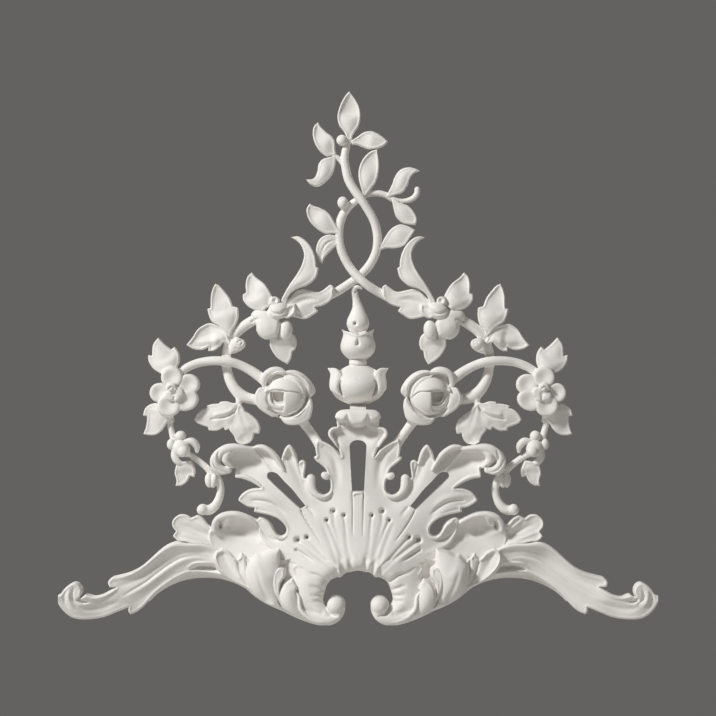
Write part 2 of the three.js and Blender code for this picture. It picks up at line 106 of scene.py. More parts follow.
def smooth(points, pace=1.4):
    """Points along a smooth curve through the given ones."""
    p = np.array(points, float)
    p = np.vstack([2 * p[0] - p[1], p, 2 * p[-1] - p[-2]])
    line = [p[1]]
    for a, b, c, d in zip(p, p[1:], p[2:], p[3:]):
        tb = max(np.hypot(*(b - a)), 1e-6) ** 0.5
        tc = tb + max(np.hypot(*(c - b)), 1e-6) ** 0.5
        td = tc + max(np.hypot(*(d - c)), 1e-6) ** 0.5
        for t in np.linspace(tb, tc, max(2, int(np.hypot(*(c - b)) / pace)) + 1)[1:]:
            ab = ((tb - t) * a + t * b) / tb
            bc = ((tc - t) * b + (t - tb) * c) / (tc - tb)
            cd = ((td - t) * c + (t - tc) * d) / (td - tc)
            abc = ((tc - t) * ab + t * bc) / tc
            bcd = ((td - t) * bc + (t - tb) * cd) / (td - tb)
            line.append(((tc - t) * abc + (t - tb) * bcd) / (tc - tb))
    return np.array(line)


def edge(*runs):
    """One edge made of smooth runs that meet in corners."""
    line, last = [], []
    for run in runs:
        points = last + list(run)
        line.append(smooth(points) if len(points) > 1 else np.array(points, float))
        last = [run[-1]]
    return np.vstack(line)


def along(values, t):
    """The value at share t of a list spread evenly from start to end."""
    if not isinstance(values, (list, tuple)):
        return values
    v = np.array([2 * values[0] - values[1], *values, 2 * values[-1] - values[-2]], float)
    at = t * (len(values) - 1)
    k = np.clip(at.astype(int), 0, len(values) - 2)
    f = at - k
    a, b, c, d = v[k], v[k + 1], v[k + 2], v[k + 3]
    return b + f / 2 * (c - a + f * (2 * a - 5 * b + 4 * c - d + f * (3 * (b - c) + d - a)))


def near(line, x, z):
    """Distance to a line and the share of its length at the nearest point."""
    best, share = np.full(x.shape, 1e9), np.zeros(x.shape)
    lengths = np.hypot(*np.diff(line, axis=0).T)
    total, gone = max(lengths.sum(), 1e-9), 0.0
    for (ax, az), (bx, bz), length in zip(line, line[1:], lengths):
        if length > 1e-9:
            t = np.clip(((x - ax) * (bx - ax) + (z - az) * (bz - az)) / length**2, 0, 1)
            d = (x - ax - t * (bx - ax)) ** 2 + (z - az - t * (bz - az)) ** 2
            closer = d < best
            best[closer] = d[closer]
            share[closer] = (gone + t[closer] * length) / total
            gone += length
    return np.sqrt(best), share


def margin(outline, x, z):
    """Distance inside a closed outline, less than nothing outside it."""
    ring = np.vstack([outline, outline[:1]])
    crossings = np.zeros(x.shape, bool)
    for (ax, az), (bx, bz) in zip(ring, ring[1:]):
        if az != bz:
            crossings ^= ((az > z) != (bz > z)) & (x < (bx - ax) * (z - az) / (bz - az) + ax)
    return np.where(crossings, 1, -1) * near(ring, x, z)[0]


def under(low, high, both):
    """The part of the board under a box, on the right half alone where the element has a pair."""
    c = np.searchsorted(across, (low[0] - skirt, high[0] + skirt))
    r = np.searchsorted(upward, (low[1] - skirt, high[1] + skirt))
    where = (slice(*r), slice(max(c[0], columns // 2) if both else c[0], c[1]))
    x, z = np.meshgrid(across[where[1]], upward[where[0]])
    return where, x, z


def within(ring, both):
    """The part of the board under a closed outline, and the distance inside the outline there."""
    where, x, z = under(ring.min(0), ring.max(0), both)
    return where, x, z, margin(ring, x, z)


def lay(where, s, h, both):
    """Lays an element on the board, and its mirror image too if it has one: the higher surface
    shows, and the sides of each element are steep."""
    h = h - draft * np.clip(-s, 0, None)
    for depth, rim in ((height, inside), (height[:, ::-1], inside[:, ::-1]))[: 2 if both else 1]:
        depth[where] = np.maximum(depth[where], h)
        rim[where] = np.maximum(rim[where], s)


def carve(where, x, change, both):
    """Adds a change to the height, once only on the middle line."""
    height[where] += change
    if both:
        height[:, ::-1][where] += np.where(x > 0, change, 0)


def rounded(s, lip):
    """How far an edge of that lip falls at a distance s inside it."""
    return lip * (1 - np.sqrt(1 - (1 - np.clip(s / lip, 0, 1)) ** 2))


def strand(points, wide, high, crest=None, both=True):
    """A round-topped strand along a smooth line."""
    line = smooth(points)
    w = np.max(wide)
    where, x, z = under(line.min(0) - w, line.max(0) + w, both)
    d, t = near(line, x, z)
    w, h = along(wide, t), along(high, t)
    fall = np.minimum(w, 0.8 * h) if crest is None else along(crest, t)
    lay(where, w - d, h - fall * (1 - np.sqrt(np.clip(1 - (d / w) ** 2, 0, 1))), both)


def knob(centre, radii, high, crest=None, turn=0.0, dish=0.0, plate=1, both=True):
    """A rounded knob, an ellipse seen from the front, or a plate that is dished in the middle."""
    (x0, z0), (a, b) = centre, radii
    far = max(a, b)
    where, x, z = under((x0 - far, z0 - far), (x0 + far, z0 + far), both)
    c, s = math.cos(turn), math.sin(turn)
    q = np.hypot(((x - x0) * c + (z - z0) * s) / a, ((z - z0) * c - (x - x0) * s) / b)
    fall = (min(a, b) if crest is None else crest) * (1 - np.sqrt(np.clip(1 - q ** (2 * plate), 0, 1)))
    dish_share = 0.6
    lay(where, (1 - q) * min(a, b), high - fall - dish * np.exp(-((q / dish_share) ** 2)), both)


def soften(h, reach):
    """The same heights with every crease rounded off over that reach."""
    passes, share = 3, 1.7
    k = max(1, round(reach / grain / share))
    span = 2 * k + 1
    for _ in range(passes):
        for side in (0, 1):
            wide = np.pad(h, [(k, k) if axis == side else (0, 0) for axis in (0, 1)], "edge")
            total = np.cumsum(np.insert(wide, 0, 0, side), side)
            size = total.shape[side]
            h = (np.take(total, range(span, size), side) - np.take(total, range(size - span), side)) / span
    return h


def leaf(left, right, high, belly, rim, lip=1.5, rib=0.0, power=1.0, both=True):
    """A leaf between its two edges, from base to tip, and both end at the tip that the left one gives.
    belly is how far its middle bulges, or is dished where it is less than nothing; rib is the depth
    of the line down its middle."""
    one, two = edge(*left), edge(*right[:-1], [*right[-1], left[-1][-1]])
    where, x, z, s = within(np.vstack([one, two[::-1]]), both)
    (da, ta), (db, tb) = near(one, x, z), near(two, x, z)
    share = (da + 1e-6) / (da + db + 2e-6)
    t = ta * (1 - share) + tb * share
    crease, fine = 2.4, 1.1
    arch = along(belly, t) * (4 * share * (1 - share)) ** power
    h = soften(along(high, t) + arch, crease) - rounded(s, lip)
    h = h + rim * np.exp(-(((s - fine) / fine) ** 2))
    h = h - along(rib, t) * np.exp(-(((share - 0.5) * (da + db) / fine) ** 2))
    lay(where, s, h, both)


def stroke(points, wide, amount, both=True):
    """A groove or, where amount is more than nothing, a ridge carved along a line."""
    line = smooth(points) if len(points) > 1 else np.array(points * 2, float) + [[0, 0], [0, 0.01]]
    reach = 2 * np.max(wide)
    where, x, z = under(line.min(0) - reach, line.max(0) + reach, both)
    d, t = near(line, x, z)
    carve(where, x, along(amount, t) * np.exp(-((d / along(wide, t)) ** 2)), both)


stem = 4.3
strand([(-8, 392), (-11.5, 383), (-13.5, 371), (-12, 360), (-9.5, 350), (-4, 340), (3.5, 330), (10, 320),
    (15.5, 310), (18.5, 300), (19.5, 290), (18, 278), (13, 267), (6, 258), (-1, 251.5), (-9, 246), (-18, 240),
    (-30, 233)], [2.6, 3.6, 4, *[stem] * 14, 3.6], [17, 18, 20, 21, 22, 23, 24, 23, 22, 21, 21, 20, 19, 17,
    16, 17, 18, 18], both=False)
strand([(34, 331), (28, 334.5), (20, 336.5), (12, 336.2), (5, 333.5), (-2, 329), (-9, 323), (-15, 315),
    (-18.5, 304), (-19, 291), (-16.5, 279), (-11.5, 268), (-5.5, 259), (2, 251), (11, 243.5), (20, 238),
    (30, 232)], [2.9, 2.9, 3, 3.1, 3.3, 3.8, *[stem] * 10, 3.6],
    [17, 17, 17, 17, 16, 15, 16, 18, 19, 20, 20, 20, 22, 24, 23, 20, 18], both=False)
strand([(-24, 374), (-20, 371.5), (-14, 365)], [2.3, 2.4, 2.8], 18, both=False)
strand([(31, 333.5), (40.5, 329), (48, 328.8), (55, 331.4), (59, 336.5), (59.2, 340)],
    [2.3, 2.2, 2.3, 2.6, 2.9, 2.9], [17, 17, 17, 18, 19, 19], both=False)
for left, right, high, belly, rim in (
    ([(-10.5, 389), (-11.7, 393), (-13.5, 397.2), (-18.6, 404), (-20.5, 412.5), (-18.4, 422), (-13.6, 432),
     (-8.8, 438)], [(-5.8, 389), (-5.4, 393), (-3.2, 397.2), (1.1, 404), (2.8, 413.5), (1.3, 423),
     (-3.4, 431.7)], [16, 16, 17, 18, 20], [1, 3.5, 2.5, -2.2, -2.6, -1], 1.1),
    ([(-7, 388.5), (-1, 392.2), (6, 397), (13, 398.1), (20, 395.6), (26.6, 391), (30, 388)],
     [(-6, 385), (-2, 385), (3.3, 383), (10.2, 380.4), (19.8, 381), (26.6, 384.4)], [17, 18, 19, 20],
     [1, 0.5, 2.8, 1.8, -0.8], 1.0),
    ([(-23, 374), (-31, 373.5), (-38.5, 379), (-43.4, 387.2), (-45.1, 395.6), (-44, 402.5), (-39.7, 407)],
     [(-21, 373), (-22.6, 380), (-22.8, 385), (-25, 391.6), (-31.4, 397), (-37, 402.5)], [16, 18, 19, 19],
     [1, 3, 2.4, -1.4, -1], 1.0),
    ([(-22.5, 374), (-29, 372), (-35.4, 370), (-39.2, 365.2), (-40.6, 357.4), (-44, 350.8), (-51.8, 349.7)],
     [(-22, 371), (-22.8, 364), (-25.4, 356), (-32.2, 347.7), (-40.6, 343), (-47.4, 345.2)],
     [16, 18, 19, 20, 21], [1, 3, 3.4, 2.6, 1], 0.6),
    ([(5.5, 333), (3.5, 340), (1, 349), (0.5, 357), (2, 364.2), (6.6, 372.4), (13, 378), (19.4, 380)],
     [(8, 334), (12.4, 339.6), (17.8, 347.8), (20.6, 357.4), (21, 368.4), (20.2, 375)], [17, 18, 19, 20],
     [1, 3.4, 2.6, 0, -1.4, -0.6], 1.0),
    ([(28.5, 333.5), (31.5, 340), (34, 345), (36.4, 351.8), (41.8, 359.2), (50, 362), (56, 361),
     (61.4, 358.7)], [(30, 332.5), (36.4, 334.2), (44.4, 337), (49.8, 344.8), (52.6, 351.8), (56, 356.2)],
     [17, 18, 20, 21], [1, 2.4, 3.2, 2.2, 0.8], 0.7),
    ([(37.5, 330), (42, 326.7), (50, 323.8), (56, 317.6), (59, 310.5), (57.6, 304.6)],
     [(33.5, 331.5), (35.4, 321.5), (38.2, 312.8), (44.4, 307), (51, 305)], [17, 18, 19, 20],
     [1, 3.4, 3, 1.6, -0.5], 0.8),
    ([(20, 280), (23.5, 286), (26.6, 292), (33.4, 301), (41.6, 305), (50, 303.2), (57.2, 299.6)],
     [(21, 279), (28, 281.6), (36.2, 281.6), (45.8, 284.2), (51.4, 291.2), (54.4, 295.4)], [18, 18, 19, 20],
     [1, 1.8, 3.2, 2.2, 0.4], 0.8),
    ([(-20, 295), (-24, 296), (-32.4, 296.1), (-42, 301.6), (-49, 310), (-51.4, 320), (-48.2, 326)],
     [(-19, 300), (-23, 306.6), (-29, 316.2), (-37.8, 321.6), (-44.4, 323.7)], [17, 18, 19, 19],
     [1, 3, 2.2, -1, -1.2], 1.0),
):
    leaf([left], [right], high, belly, rim, both=False)
leaf([[(-19, 292), (-24, 294.4), (-31, 294.8), (-38.5, 290), (-41.8, 280.4), (-40, 271), (-35.8, 265.8)]],
    [[(-18, 286), (-22.6, 283.2), (-28.2, 277.8), (-33.4, 272)]], [17, 18, 19, 19], [1, 2.4, 2.2, 1, 0.4],
    0.8, rib=[0, 1.4, 1.2, 0.6, 0], both=False)
knob((-16, 389), (5.5, 5.5), 23, both=False)
stroke([(-17, 393)], 0.9, -1.2, both=False)
knob((-15.2, 326.8), (5.3, 6.0), 24, both=False)
stroke([(-15.5, 330.4)], 0.8, -1.0, both=False)

# ---- The leaves and the blossom where the vines part ----
# A horn-shaped leaf, a leaf that wraps the stem like a sleeve and a half-open blossom, all of plaster
# and cast in one with the stems on each side.
leaf([[(77, 222), (76.4, 229), (72.6, 237.3), (67.4, 246), (61.1, 255), (56, 264.6), (53.7, 275), (57, 284.4),
    (62, 289.6), (67, 292.4)]], [[(70, 224), (70.8, 228), (68, 234.6), (61, 240.2), (49.6, 244.8),
    (41.6, 252.5), (39.2, 261.8)], [(41.4, 262.8), (41.8, 268), (44.2, 277.6), (50.2, 287), (59, 293)]],
    [24, 27, 29, 28, 26, 23, 20], [3, 4, 3.4, 1.6, 2, 2.4, 1], 0.8)
leaf([[(73, 228), (67.6, 232.4), (61.7, 238.4), (55.6, 240.7), (47.2, 239.2), (38.8, 237.9), (32.6, 241.4),
    (27.7, 245.2)], [(24.2, 242.7), (24.8, 238)]], [[(68, 214), (60.4, 212), (52, 211), (44.6, 215.2),
    (39.6, 218.6)], [(42.4, 222.6)], [(35, 224.5), (29, 228.1), (25, 233)]], [25, 24, 23, 22, 23],
    [2, 2.6, 3, 2, 1.6], 0.9)
stroke([(67, 222), (62, 226), (55, 229.4), (48, 230.6), (41, 230)], [3.2, 3.2, 2.8, 2],
    [-1.6, -2.6, -2.6, -0.8])
leaf([[(96, 218), (105.4, 220.8), (110.2, 224), (114.4, 230), (114.6, 235.2)], [(111.4, 237)],
    [(111.8, 245.8), (110.1, 253), (105.7, 257.4)]], [[(87, 224), (85.4, 231.2), (87.8, 237.4), (93.2, 245.8),
    (102.2, 253)]], [26, 25, 24, 22, 20], [4.5, 5, 4, 2, -1.5, -1.5], 0.7)
leaf([[(94, 193), (88.3, 191), (87.7, 184), (82.4, 174.4), (76.2, 169), (70.1, 165.6)]],
    [[(70, 202), (66.5, 197.4), (62.8, 193.6), (61.1, 186.4), (62.6, 180.6)], [(65.4, 178.6)], [(66.6, 172)]],
    [24, 23, 21, 20, 19], [2.5, 2.8, 2.4, 1.6, 0.6], 0.6)
strand([(100, 212), (107, 208), (114, 203.5), (120.5, 198), (126.5, 190), (130.4, 180), (131.6, 169),
    (130.5, 159), (127.5, 149), (122, 140), (114.5, 133.6), (106, 131), (98, 130)],
    [5, 5, 5, 4.9, 4.8, 4.6, 4.5, 4.6, 4.9, 5.3, 5.8, 5.2, 4.8],
    [26, 24, 23, 22, 20, 17, 15, 17, 19, 21, 22, 22, 22])


def surface(marks):
    """A smooth surface through marks, given as places and their heights."""
    p, v = np.array(list(marks), float), np.array(list(marks.values()), float)

    def bend(square):
        return square * np.log(square + 1e-9)

    flat = np.c_[np.ones(len(p)), p]
    table = np.block([[bend(((p[:, None] - p[None]) ** 2).sum(-1)), flat], [flat.T, np.zeros((3, 3))]])
    w = np.linalg.solve(table, np.r_[v, 0, 0, 0])

    def rule(x, z):
        h = w[-3] + w[-2] * x + w[-1] * z
        for (px, pz), weight in zip(p, w):
            h = h + weight * bend((x - px) ** 2 + (z - pz) ** 2)
        return h

    return rule


def sheet(outline, rule, rim, lip):
    """A piece of the carving, and its mirror image, inside an outline and as high as its rule says."""
    where, x, z, s = within(edge(*outline), True)
    bead = rim(x, z) if callable(rim) else rim
    fine = 1.3
    lay(where, s, rule(x, z) - rounded(s, lip) + bead * np.exp(-(((s - fine) / fine) ** 2)), True)


sheet([[(106.6, 215.4), (103.4, 219.2), (97.6, 220.2), (90, 219), (82, 213), (77, 208), (78, 199),
    (80.4, 194)], [(85, 192.6), (91.6, 190.4), (97, 193), (100.8, 198.4), (101.6, 206), (105, 209.6),
    (106.6, 215.4)]], surface({(102, 215): 29, (96, 210): 32, (90, 202): 34, (84, 208): 33, (92, 194): 31}),
    rim=0, lip=5)
stroke([(105, 208.6), (100.4, 210.4), (96, 209)], 1.5, [-2.4, -2, 0])
knob((72, 200), (6.6, 9.6), 33, crest=6, turn=0.1)
stroke([(78.2, 208), (77.8, 200), (79.2, 192)], 1.2, [-1.5, -3, -3])
leaf([[(75, 212), (73, 219.6), (69.4, 224.2), (62.6, 225.4)]], [[(70, 211.4), (65.6, 214), (62.4, 218.6)]],
    [32, 33, 31], [0, -2, -1], 1.2, lip=1.5)
knob((79.6, 218.6), (10.8, 8.4), 37, crest=8, turn=-0.3)
stroke([(89.4, 220), (83.4, 216.6), (77, 216.2), (72, 220)], 1.2, [-0.6, -2, -2.2, -1])
knob((83, 228.4), (4.9, 4.8), 34, crest=3)
stroke([(82.6, 229.2)], 2.2, -3.4)

# ---- The pair of leaves on the outer bend, with a bud ----
# Two toothed leaves, dished towards their tips, and a bud in the fork of the stem. They are cast with
# the stem, whose bend they cover.
leaf([[(129, 193), (138, 203.2), (145.4, 208), (148.5, 214.3), (150.1, 221)], [(147, 221.6)],
    [(146.8, 226.6), (146.7, 232.6), (144.8, 241), (142.2, 246)]],
    [[(127, 194), (125.7, 198.6), (121, 205.8), (119.1, 214.4), (119.6, 222.2)], [(124.8, 223.6)],
    [(128.4, 232.4), (133.2, 238.6), (138.4, 244.4)]], [22, 22, 21, 20, 20], [2.5, 4.2, 4.2, 1, -1.6, -1.4],
    0.9)
leaf([[(127, 188), (130.1, 195), (134.4, 202), (141.6, 205.2), (148.4, 206.7), (154, 204.6), (160, 200.2),
    (165, 192.4), (171, 185)]], [[(128, 185), (133.6, 187.4), (138, 183.2), (144, 179.2), (149.1, 178.8)],
    [(149, 182.8)], [(156.2, 180), (165.6, 181.4)]], [22, 21, 20, 20, 20], [2, 1.2, -1.2, -1.6, -1.4, -0.6],
    1.2)
stroke([(136, 191), (144, 189), (153, 188), (161, 186.6)], [4, 4.6, 4, 2.5], [2.5, 4, 3.4, 0.5])
leaf([[(129, 184), (126.5, 188.4), (121.4, 191.7), (116.5, 191.4)]],
    [[(127, 176), (123, 176.8), (117, 179.4), (113, 184)]], [24, 26, 27], [3, 4, 3], 0, lip=3, power=0.6)
knob((117.4, 186), (5.2, 5.2), 30, crest=4)
stroke([(119.4, 188), (117, 189.4), (114.8, 187.6), (116.4, 185.4)], 0.8, -1.3)
stroke([(122, 182), (118, 180)], 0.9, -1.2)

# ---- The stems of one side and the two lobed leaves under the rose ----
# The arc from the flower to the rose is cast across the stem that drops from the blossom, and two
# lobed plaster leaves hang where they meet.
strand([(180, 153), (174, 160), (166, 164.6), (157, 167.6), (147, 169.1), (137, 169.2), (127, 168),
    (117, 164.8), (107, 159.5), (100, 154.8), (93, 149.4)],
    [4, 4.1, 4.2, 4.3, 4.4, 4.5, 4.5, 4.4, 4.6, 4.9, 5], [22, 22, 22.5, 23, 25, 26.5, 26.5, 25, 25, 26, 26])
strand([(58, 113), (53, 106), (48, 99), (43, 92), (39, 86)], [5, 4.7, 4.4, 4.4, 4.6], [26, 25, 25, 26, 28])
strand([(118, 133), (118.6, 127), (119, 120)], [4.5, 2.8, 3], [21, 21, 21])
leaf([[(117, 126), (121.1, 127.6), (124.7, 126.8), (130.8, 128.7), (137.4, 128.4)], [(138.2, 126.6)],
    [(145.3, 126), (151, 124.5)], [(150.2, 122.4)], [(155, 120.6), (159.8, 116.4), (163, 111)]],
    [[(118, 121), (119.6, 115.2), (121, 109), (125.8, 103), (132.2, 99.8)], [(133.9, 103.1)],
    [(140.5, 99.6), (148.5, 99.8)], [(149.6, 103)], [(155, 104.8), (161, 107.8)]], [22, 22, 21, 20, 19],
    [2.5, 3.2, 3.6, 3, 1], 0.7)
stroke([(120, 123), (123.5, 118.6), (128.3, 115.1), (134, 113.1), (139.2, 112.1), (146, 111)],
    [1.2, 1.3, 1.3, 1.3, 1.2], [-2.2, -2.6, -2.4, -2, -1])
stroke([(126, 120), (133, 117.2), (142, 115.6)], 1.8, 1.4)
leaf([[(119.6, 125), (121.2, 118), (123.4, 111), (126.5, 105), (128.4, 100.8)], [(123.4, 94.4)],
    [(121, 88.6), (115, 85.6)]], [[(117.4, 126), (114.8, 123.6), (112.4, 119.4), (106.4, 115.2),
    (100.4, 109.7), (97.5, 103), (98.4, 96.4)], [(103.4, 97.2)], [(104.1, 93.2), (107.7, 87.6)]],
    [23, 22, 22, 21, 19], [2.2, 3, 4, 3.6, 1.4], 0.6)
stroke([(117.4, 121), (114.8, 112), (111.5, 103), (110.5, 95)], [1.6, 2.2, 2.4, 2], [-1, -0.8, -0.5, 0])

# ---- The open flower and its leaves ----
# Five cupped petals stand round a lobed boss with a bud on it, with a leaf above and one beside. It
# is all plaster, cast in one with the end of the arc.
leaf([[(186, 152), (195.6, 156.2), (203.5, 161), (208.4, 168.5), (209.2, 175)], [(205, 174)],
    [(205, 178.2), (204, 185.6), (199.1, 192.4)]], [[(181, 154), (179.6, 162.4), (177.8, 168.5), (178.6, 177),
    (182.8, 183.2)], [(186.1, 180.4)], [(187.7, 181.4), (193.6, 186.6)]], [22, 21, 20, 19, 19],
    [3, 4.2, 4.2, 3, 0.4], 0.6)
leaf([[(190, 126), (198.6, 127), (206, 126.2), (212, 121.8), (214.2, 114.6)], [(210, 114)],
    [(210.4, 108), (211.6, 102), (214, 96.2)]], [[(185, 113), (190.4, 107.4), (194.8, 100.6), (201, 95.7),
    (208, 95)]], [22, 21, 20, 19], [2.5, 2.8, 2.4, 0.6, 0.4], 0.7)
strand([(187, 113), (185.8, 109.6)], [3, 2.4], 20)
strand([(188.4, 110), (187, 103), (185.2, 96), (183.4, 89)], [2.6, 2.8, 3, 3.2], [18, 19, 20, 21])
for centre, radii, turn, high in (
    ((197.4, 137.4), (9.9, 9.8), 0, 30.5),
    ((168, 146), (10.4, 10), 0.5, 30.5),
    ((185.2, 152.8), (10.7, 10.4), 0, 31.5),
    ((170.4, 129.6), (12, 9.8), -0.5, 31.5),
    ((188, 124.8), (11.4, 11), 0.2, 32),
):
    knob(centre, radii, high, crest=3, turn=turn, dish=2.4, plate=4.4)
knob((183, 138.4), (7, 6.6), 30, crest=2)
for centre, radii, turn in (
    ((186.8, 134.2), (5.8, 4.6), 0.4),
    ((181.4, 132.8), (5, 4), 0),
    ((178.6, 137.8), (5.2, 5.4), 0),
    ((183.4, 139), (4.6, 4.6), 0),
):
    knob(centre, radii, 34, crest=2.6, turn=turn, plate=3)
stroke([(182.4, 133.4), (183, 129)], 0.8, -1.6)
stroke([(183.2, 136.2)], 2.2, -1.6)
knob((185.2, 143), (4.8, 4.2), 37, crest=3)
stroke([(188.2, 141), (185.4, 143.8), (182.4, 141.6)], 0.9, -2.4)

# ---- The side chain ----
# A ball with two half-open scales, a leaf, a cleft bud and a curled tendril hang below the flower on
# one thin stem of the same plaster.
leaf([[(180, 68), (181.4, 64), (182.6, 57), (180.8, 49.8), (181.8, 44.6)]],
    [[(166, 70), (164.6, 66.6), (162.3, 59.6), (163.2, 53.1)], [(167.5, 54.6)],
    [(170.8, 48.5), (175.8, 44.9)]], [21, 21, 20, 19], [2, 2.4, 0, 1, 0.2], 0.8)
strand([(171, 77), (165, 73.4), (159, 69.2), (153, 64.5), (148, 59.4), (145, 56)], [3, 2.9, 2.9, 3, 3.2, 3.4],
    [21, *[20] * 5])
strand([(147, 59), (141.6, 54.4), (138.2, 48), (137, 40), (139, 31), (143.2, 24), (148.4, 20.4),
    (154.4, 20.6)], [3.2, 3.4, 3.5, 3.6, 3.9, 4.4, 4.8, 4.6], [*[20] * 5, 21, 22, 23])
knob((155.2, 20.8), (5.4, 5.4), 25, crest=5)
knob((148.6, 50), (3.9, 7.2), 24, turn=-0.1)
knob((143.8, 49.4), (3.5, 6.8), 24, turn=0.12)
strand([(183, 81), (182.6, 74), (179, 68.5), (173, 66)], [2.6, 3.6, 3.4, 1.6], [24, 25, 25, 23])
strand([(172, 89), (165.4, 89), (161, 84), (160.4, 78.4)], [2.4, 3.4, 3.2, 1.4], [25, 26, 25, 22])
knob((176.8, 94.2), (5.3, 5.2), 26)
knob((186.2, 86), (4.2, 5.4), 25)
knob((176, 82), (8.8, 8.8), 30)
knob((173.8, 79), (5.4, 5.4), 32.5, crest=4)

# ---- The rose ----
# Four petals are turned out round a tight heart of nested caps, hollow on one side. It is the deepest
# plaster of the upper part and is cast on the end of the arc.


def layer(outline, amount, lip):
    """Raises, or sinks, what is already there inside an outline on both sides."""
    where, x, _, s = within(edge(*outline), True)
    carve(where, x, amount * np.sqrt(1 - (1 - np.clip(s / lip, 0, 1)) ** 2), True)


rose_heart = (71.4, 134.4)
knob(rose_heart, (24, 23), 26, crest=2)
leaf([[(93, 140), (96, 148), (94.6, 156.4), (88.6, 161.8), (81, 163.1), (73.7, 160.2), (71, 155)]],
    [[(88, 138), (85, 144), (79, 150)]], [27, 28, 28, 28], [-1, -2, -2, 0], 0, lip=2)
strand([(92.6, 142), (93.8, 149), (91.8, 155), (87, 158.8), (81, 160), (75, 158), (71.6, 154)],
    [2, 3, 3.3, 3.4, 3.4, 3, 1.6], [29, 32, 34, 35, 35, 34, 33], crest=[1.6, 2.4, 2.8, 3, 3, 2.6, 1.4])
leaf([[(73, 153), (72, 158.6), (65.2, 160), (57, 157.7), (49.7, 152.1), (43.9, 144), (42.6, 138),
    (46, 133.6)]], [[(73, 142), (64, 142), (57, 137), (53, 132)]], [32, 34, 34.5, 34, 31],
    [1.2, 1.6, 1.4, 0.6], 0.4, lip=3.4)
leaf([[(53, 135), (47.4, 132.6), (45.1, 125.6), (45.6, 120), (48.6, 110.8), (58, 105.8), (72, 106.4),
    (76.4, 111.4), (78, 115.4)]], [[(60, 130), (60, 124), (66, 119), (72, 117)]], [31, 33.5, 34.5, 33.5, 31],
    [2.5, 3, 2.5, 1.5], 0.9, lip=2.8)
leaf([[(88, 144), (92, 142.2), (98, 142.6), (102.6, 135.6), (102.6, 129.2), (99, 122.4), (90.8, 116.4),
    (84.6, 113.4), (78, 115.4)]], [[(80, 140), (84, 134), (84, 126), (80, 120)]], [30, 32.5, 32.5, 31.5, 30],
    [2, 2.5, 2, 1], 0.9, lip=2.8)
stroke([(90, 146), (84, 152.4), (75, 155.4), (66, 154.6), (58, 150), (52.4, 143), (50.8, 134), (53.6, 124.6),
    (61, 117.4), (70, 114.2), (80, 116), (87.4, 121.4)], 1.6, [-4, -4, -3, -4, -6, -8, -9, -9, -8, -6, -4])
knob(rose_heart, (18.8, 18.6), 41, crest=12)
layer([[(93, 137.6), (90, 138.6), (85.9, 140.4), (77.4, 140.8), (69, 139.2), (60.5, 138.4), (55, 134.4),
    (51.5, 131)], [(47, 144), (58, 156), (72, 159), (86, 156), (93, 137.6)]], 3.0, 1.0)
layer([[(72.8, 138), (73.4, 133), (73, 127), (73.6, 121.4), (77, 115.5)],
    [(70, 113), (60, 114), (52, 122), (51, 131)], [(55, 134.4), (60.5, 138.4), (67, 139.2), (72.8, 138)]],
    1.6, 1.4)
layer([[(87.4, 138.4), (81, 139), (73.4, 137.8)], [(73.6, 132), (73.2, 125.4)],
    [(78.6, 124.4), (84, 126.4), (87.2, 131.4), (87.4, 138.4)]], -6, 0.8)
layer([[(84.8, 137.4), (79, 138.4), (74, 137.4)], [(74, 132), (74, 128.4)],
    [(78.4, 128), (82.6, 129.6), (84.4, 133.2), (84.8, 137.4)]], -8, 0.8)
stroke([(89.6, 137), (90.2, 130.4), (87.4, 124.2), (82, 120.6), (75, 120.4)], 1.0,
    [-1.6, -2.4, -2.4, -2.4, -1.4])

# ---- The finial ----
# A turned drop, tulip cup, collars and urn, as if halved and laid flat on the axis, cast in one with
# the fan below. A nail hole goes into the drop.
finial_base, finial_swell = 6, 0.25


def turned(profile, top=None):
    """One turned length, as (up, radius) pairs from the bottom, cut along its top edge if asked."""
    line = smooth(profile, 0.8)
    low, high = line[:, 0].min(), line[:, 0].max()
    far = line[:, 1].max()
    where, x, z = under((-far, low), (far, high), False)
    r = np.interp(z, line[:, 0], line[:, 1])
    s = np.minimum(r - np.abs(x), np.minimum(z - low, high - z))
    if top:
        rim = smooth(top)
        s = np.minimum(s, np.interp(np.abs(x), rim[:, 0], rim[:, 1]) - z)
    lay(where, s, finial_base + finial_swell * r + np.sqrt(np.clip(r * r - x * x, 0, None)), False)


turned([(119, 6), (119.4, 7.6), (122.5, 8.0), (125.8, 7.6), (126.2, 6)])
turned([(125.6, 8), (126.6, 11), (128.4, 15), (131.4, 20.5), (136, 24.6), (141, 26.8), (147, 27.2), (153, 25),
    (158, 20.4), (162, 14.6), (164.6, 9), (165.2, 6)])
for side in (1, -1):
    leaf([[(side * 17, 133), (side * 27.4, 140), (side * 28.4, 148), (side * 27.6, 156), (side * 30.6, 162)]],
        [[(side * 14, 148), (side * 15.6, 156), (side * 21.6, 161.6)]], [30, 29, 27, 22], [3, 4, 3, 0.5], 0.6,
        lip=2.5, both=False)
stroke([(17.4, 149), (18.2, 144.6), (17.4, 139), (14.4, 134)], [0.8, 1.4, 1.5, 0.9], [-3, -7, -7, -2])
stroke([(0, 152)], 1.1, -0.6, both=False)
turned([(164.4, 6), (164.8, 8.4), (167.4, 8.9), (170.2, 8.4), (170.6, 6)])
turned([(196, 4), (198, 7.6), (201, 9.8), (205.5, 11.3), (210, 10.8), (215, 8.8), (221, 6.2), (224, 5.2)])
strand([(-0.6, 224), (-1.6, 229), (-2.8, 234), (-3.6, 238.6), (-3, 242.2), (0, 243), (3.4, 241.2)],
    [5.3, 4.1, 3.5, 3.3, 2.6, 1.8, 0.9], [12.6, 12, 12, 13, 14, 15, 14], both=False)
stroke([(-2.6, 237.4), (-1, 240), (2.4, 240.2)], 0.8, [-2.6, -2.4, -1], both=False)
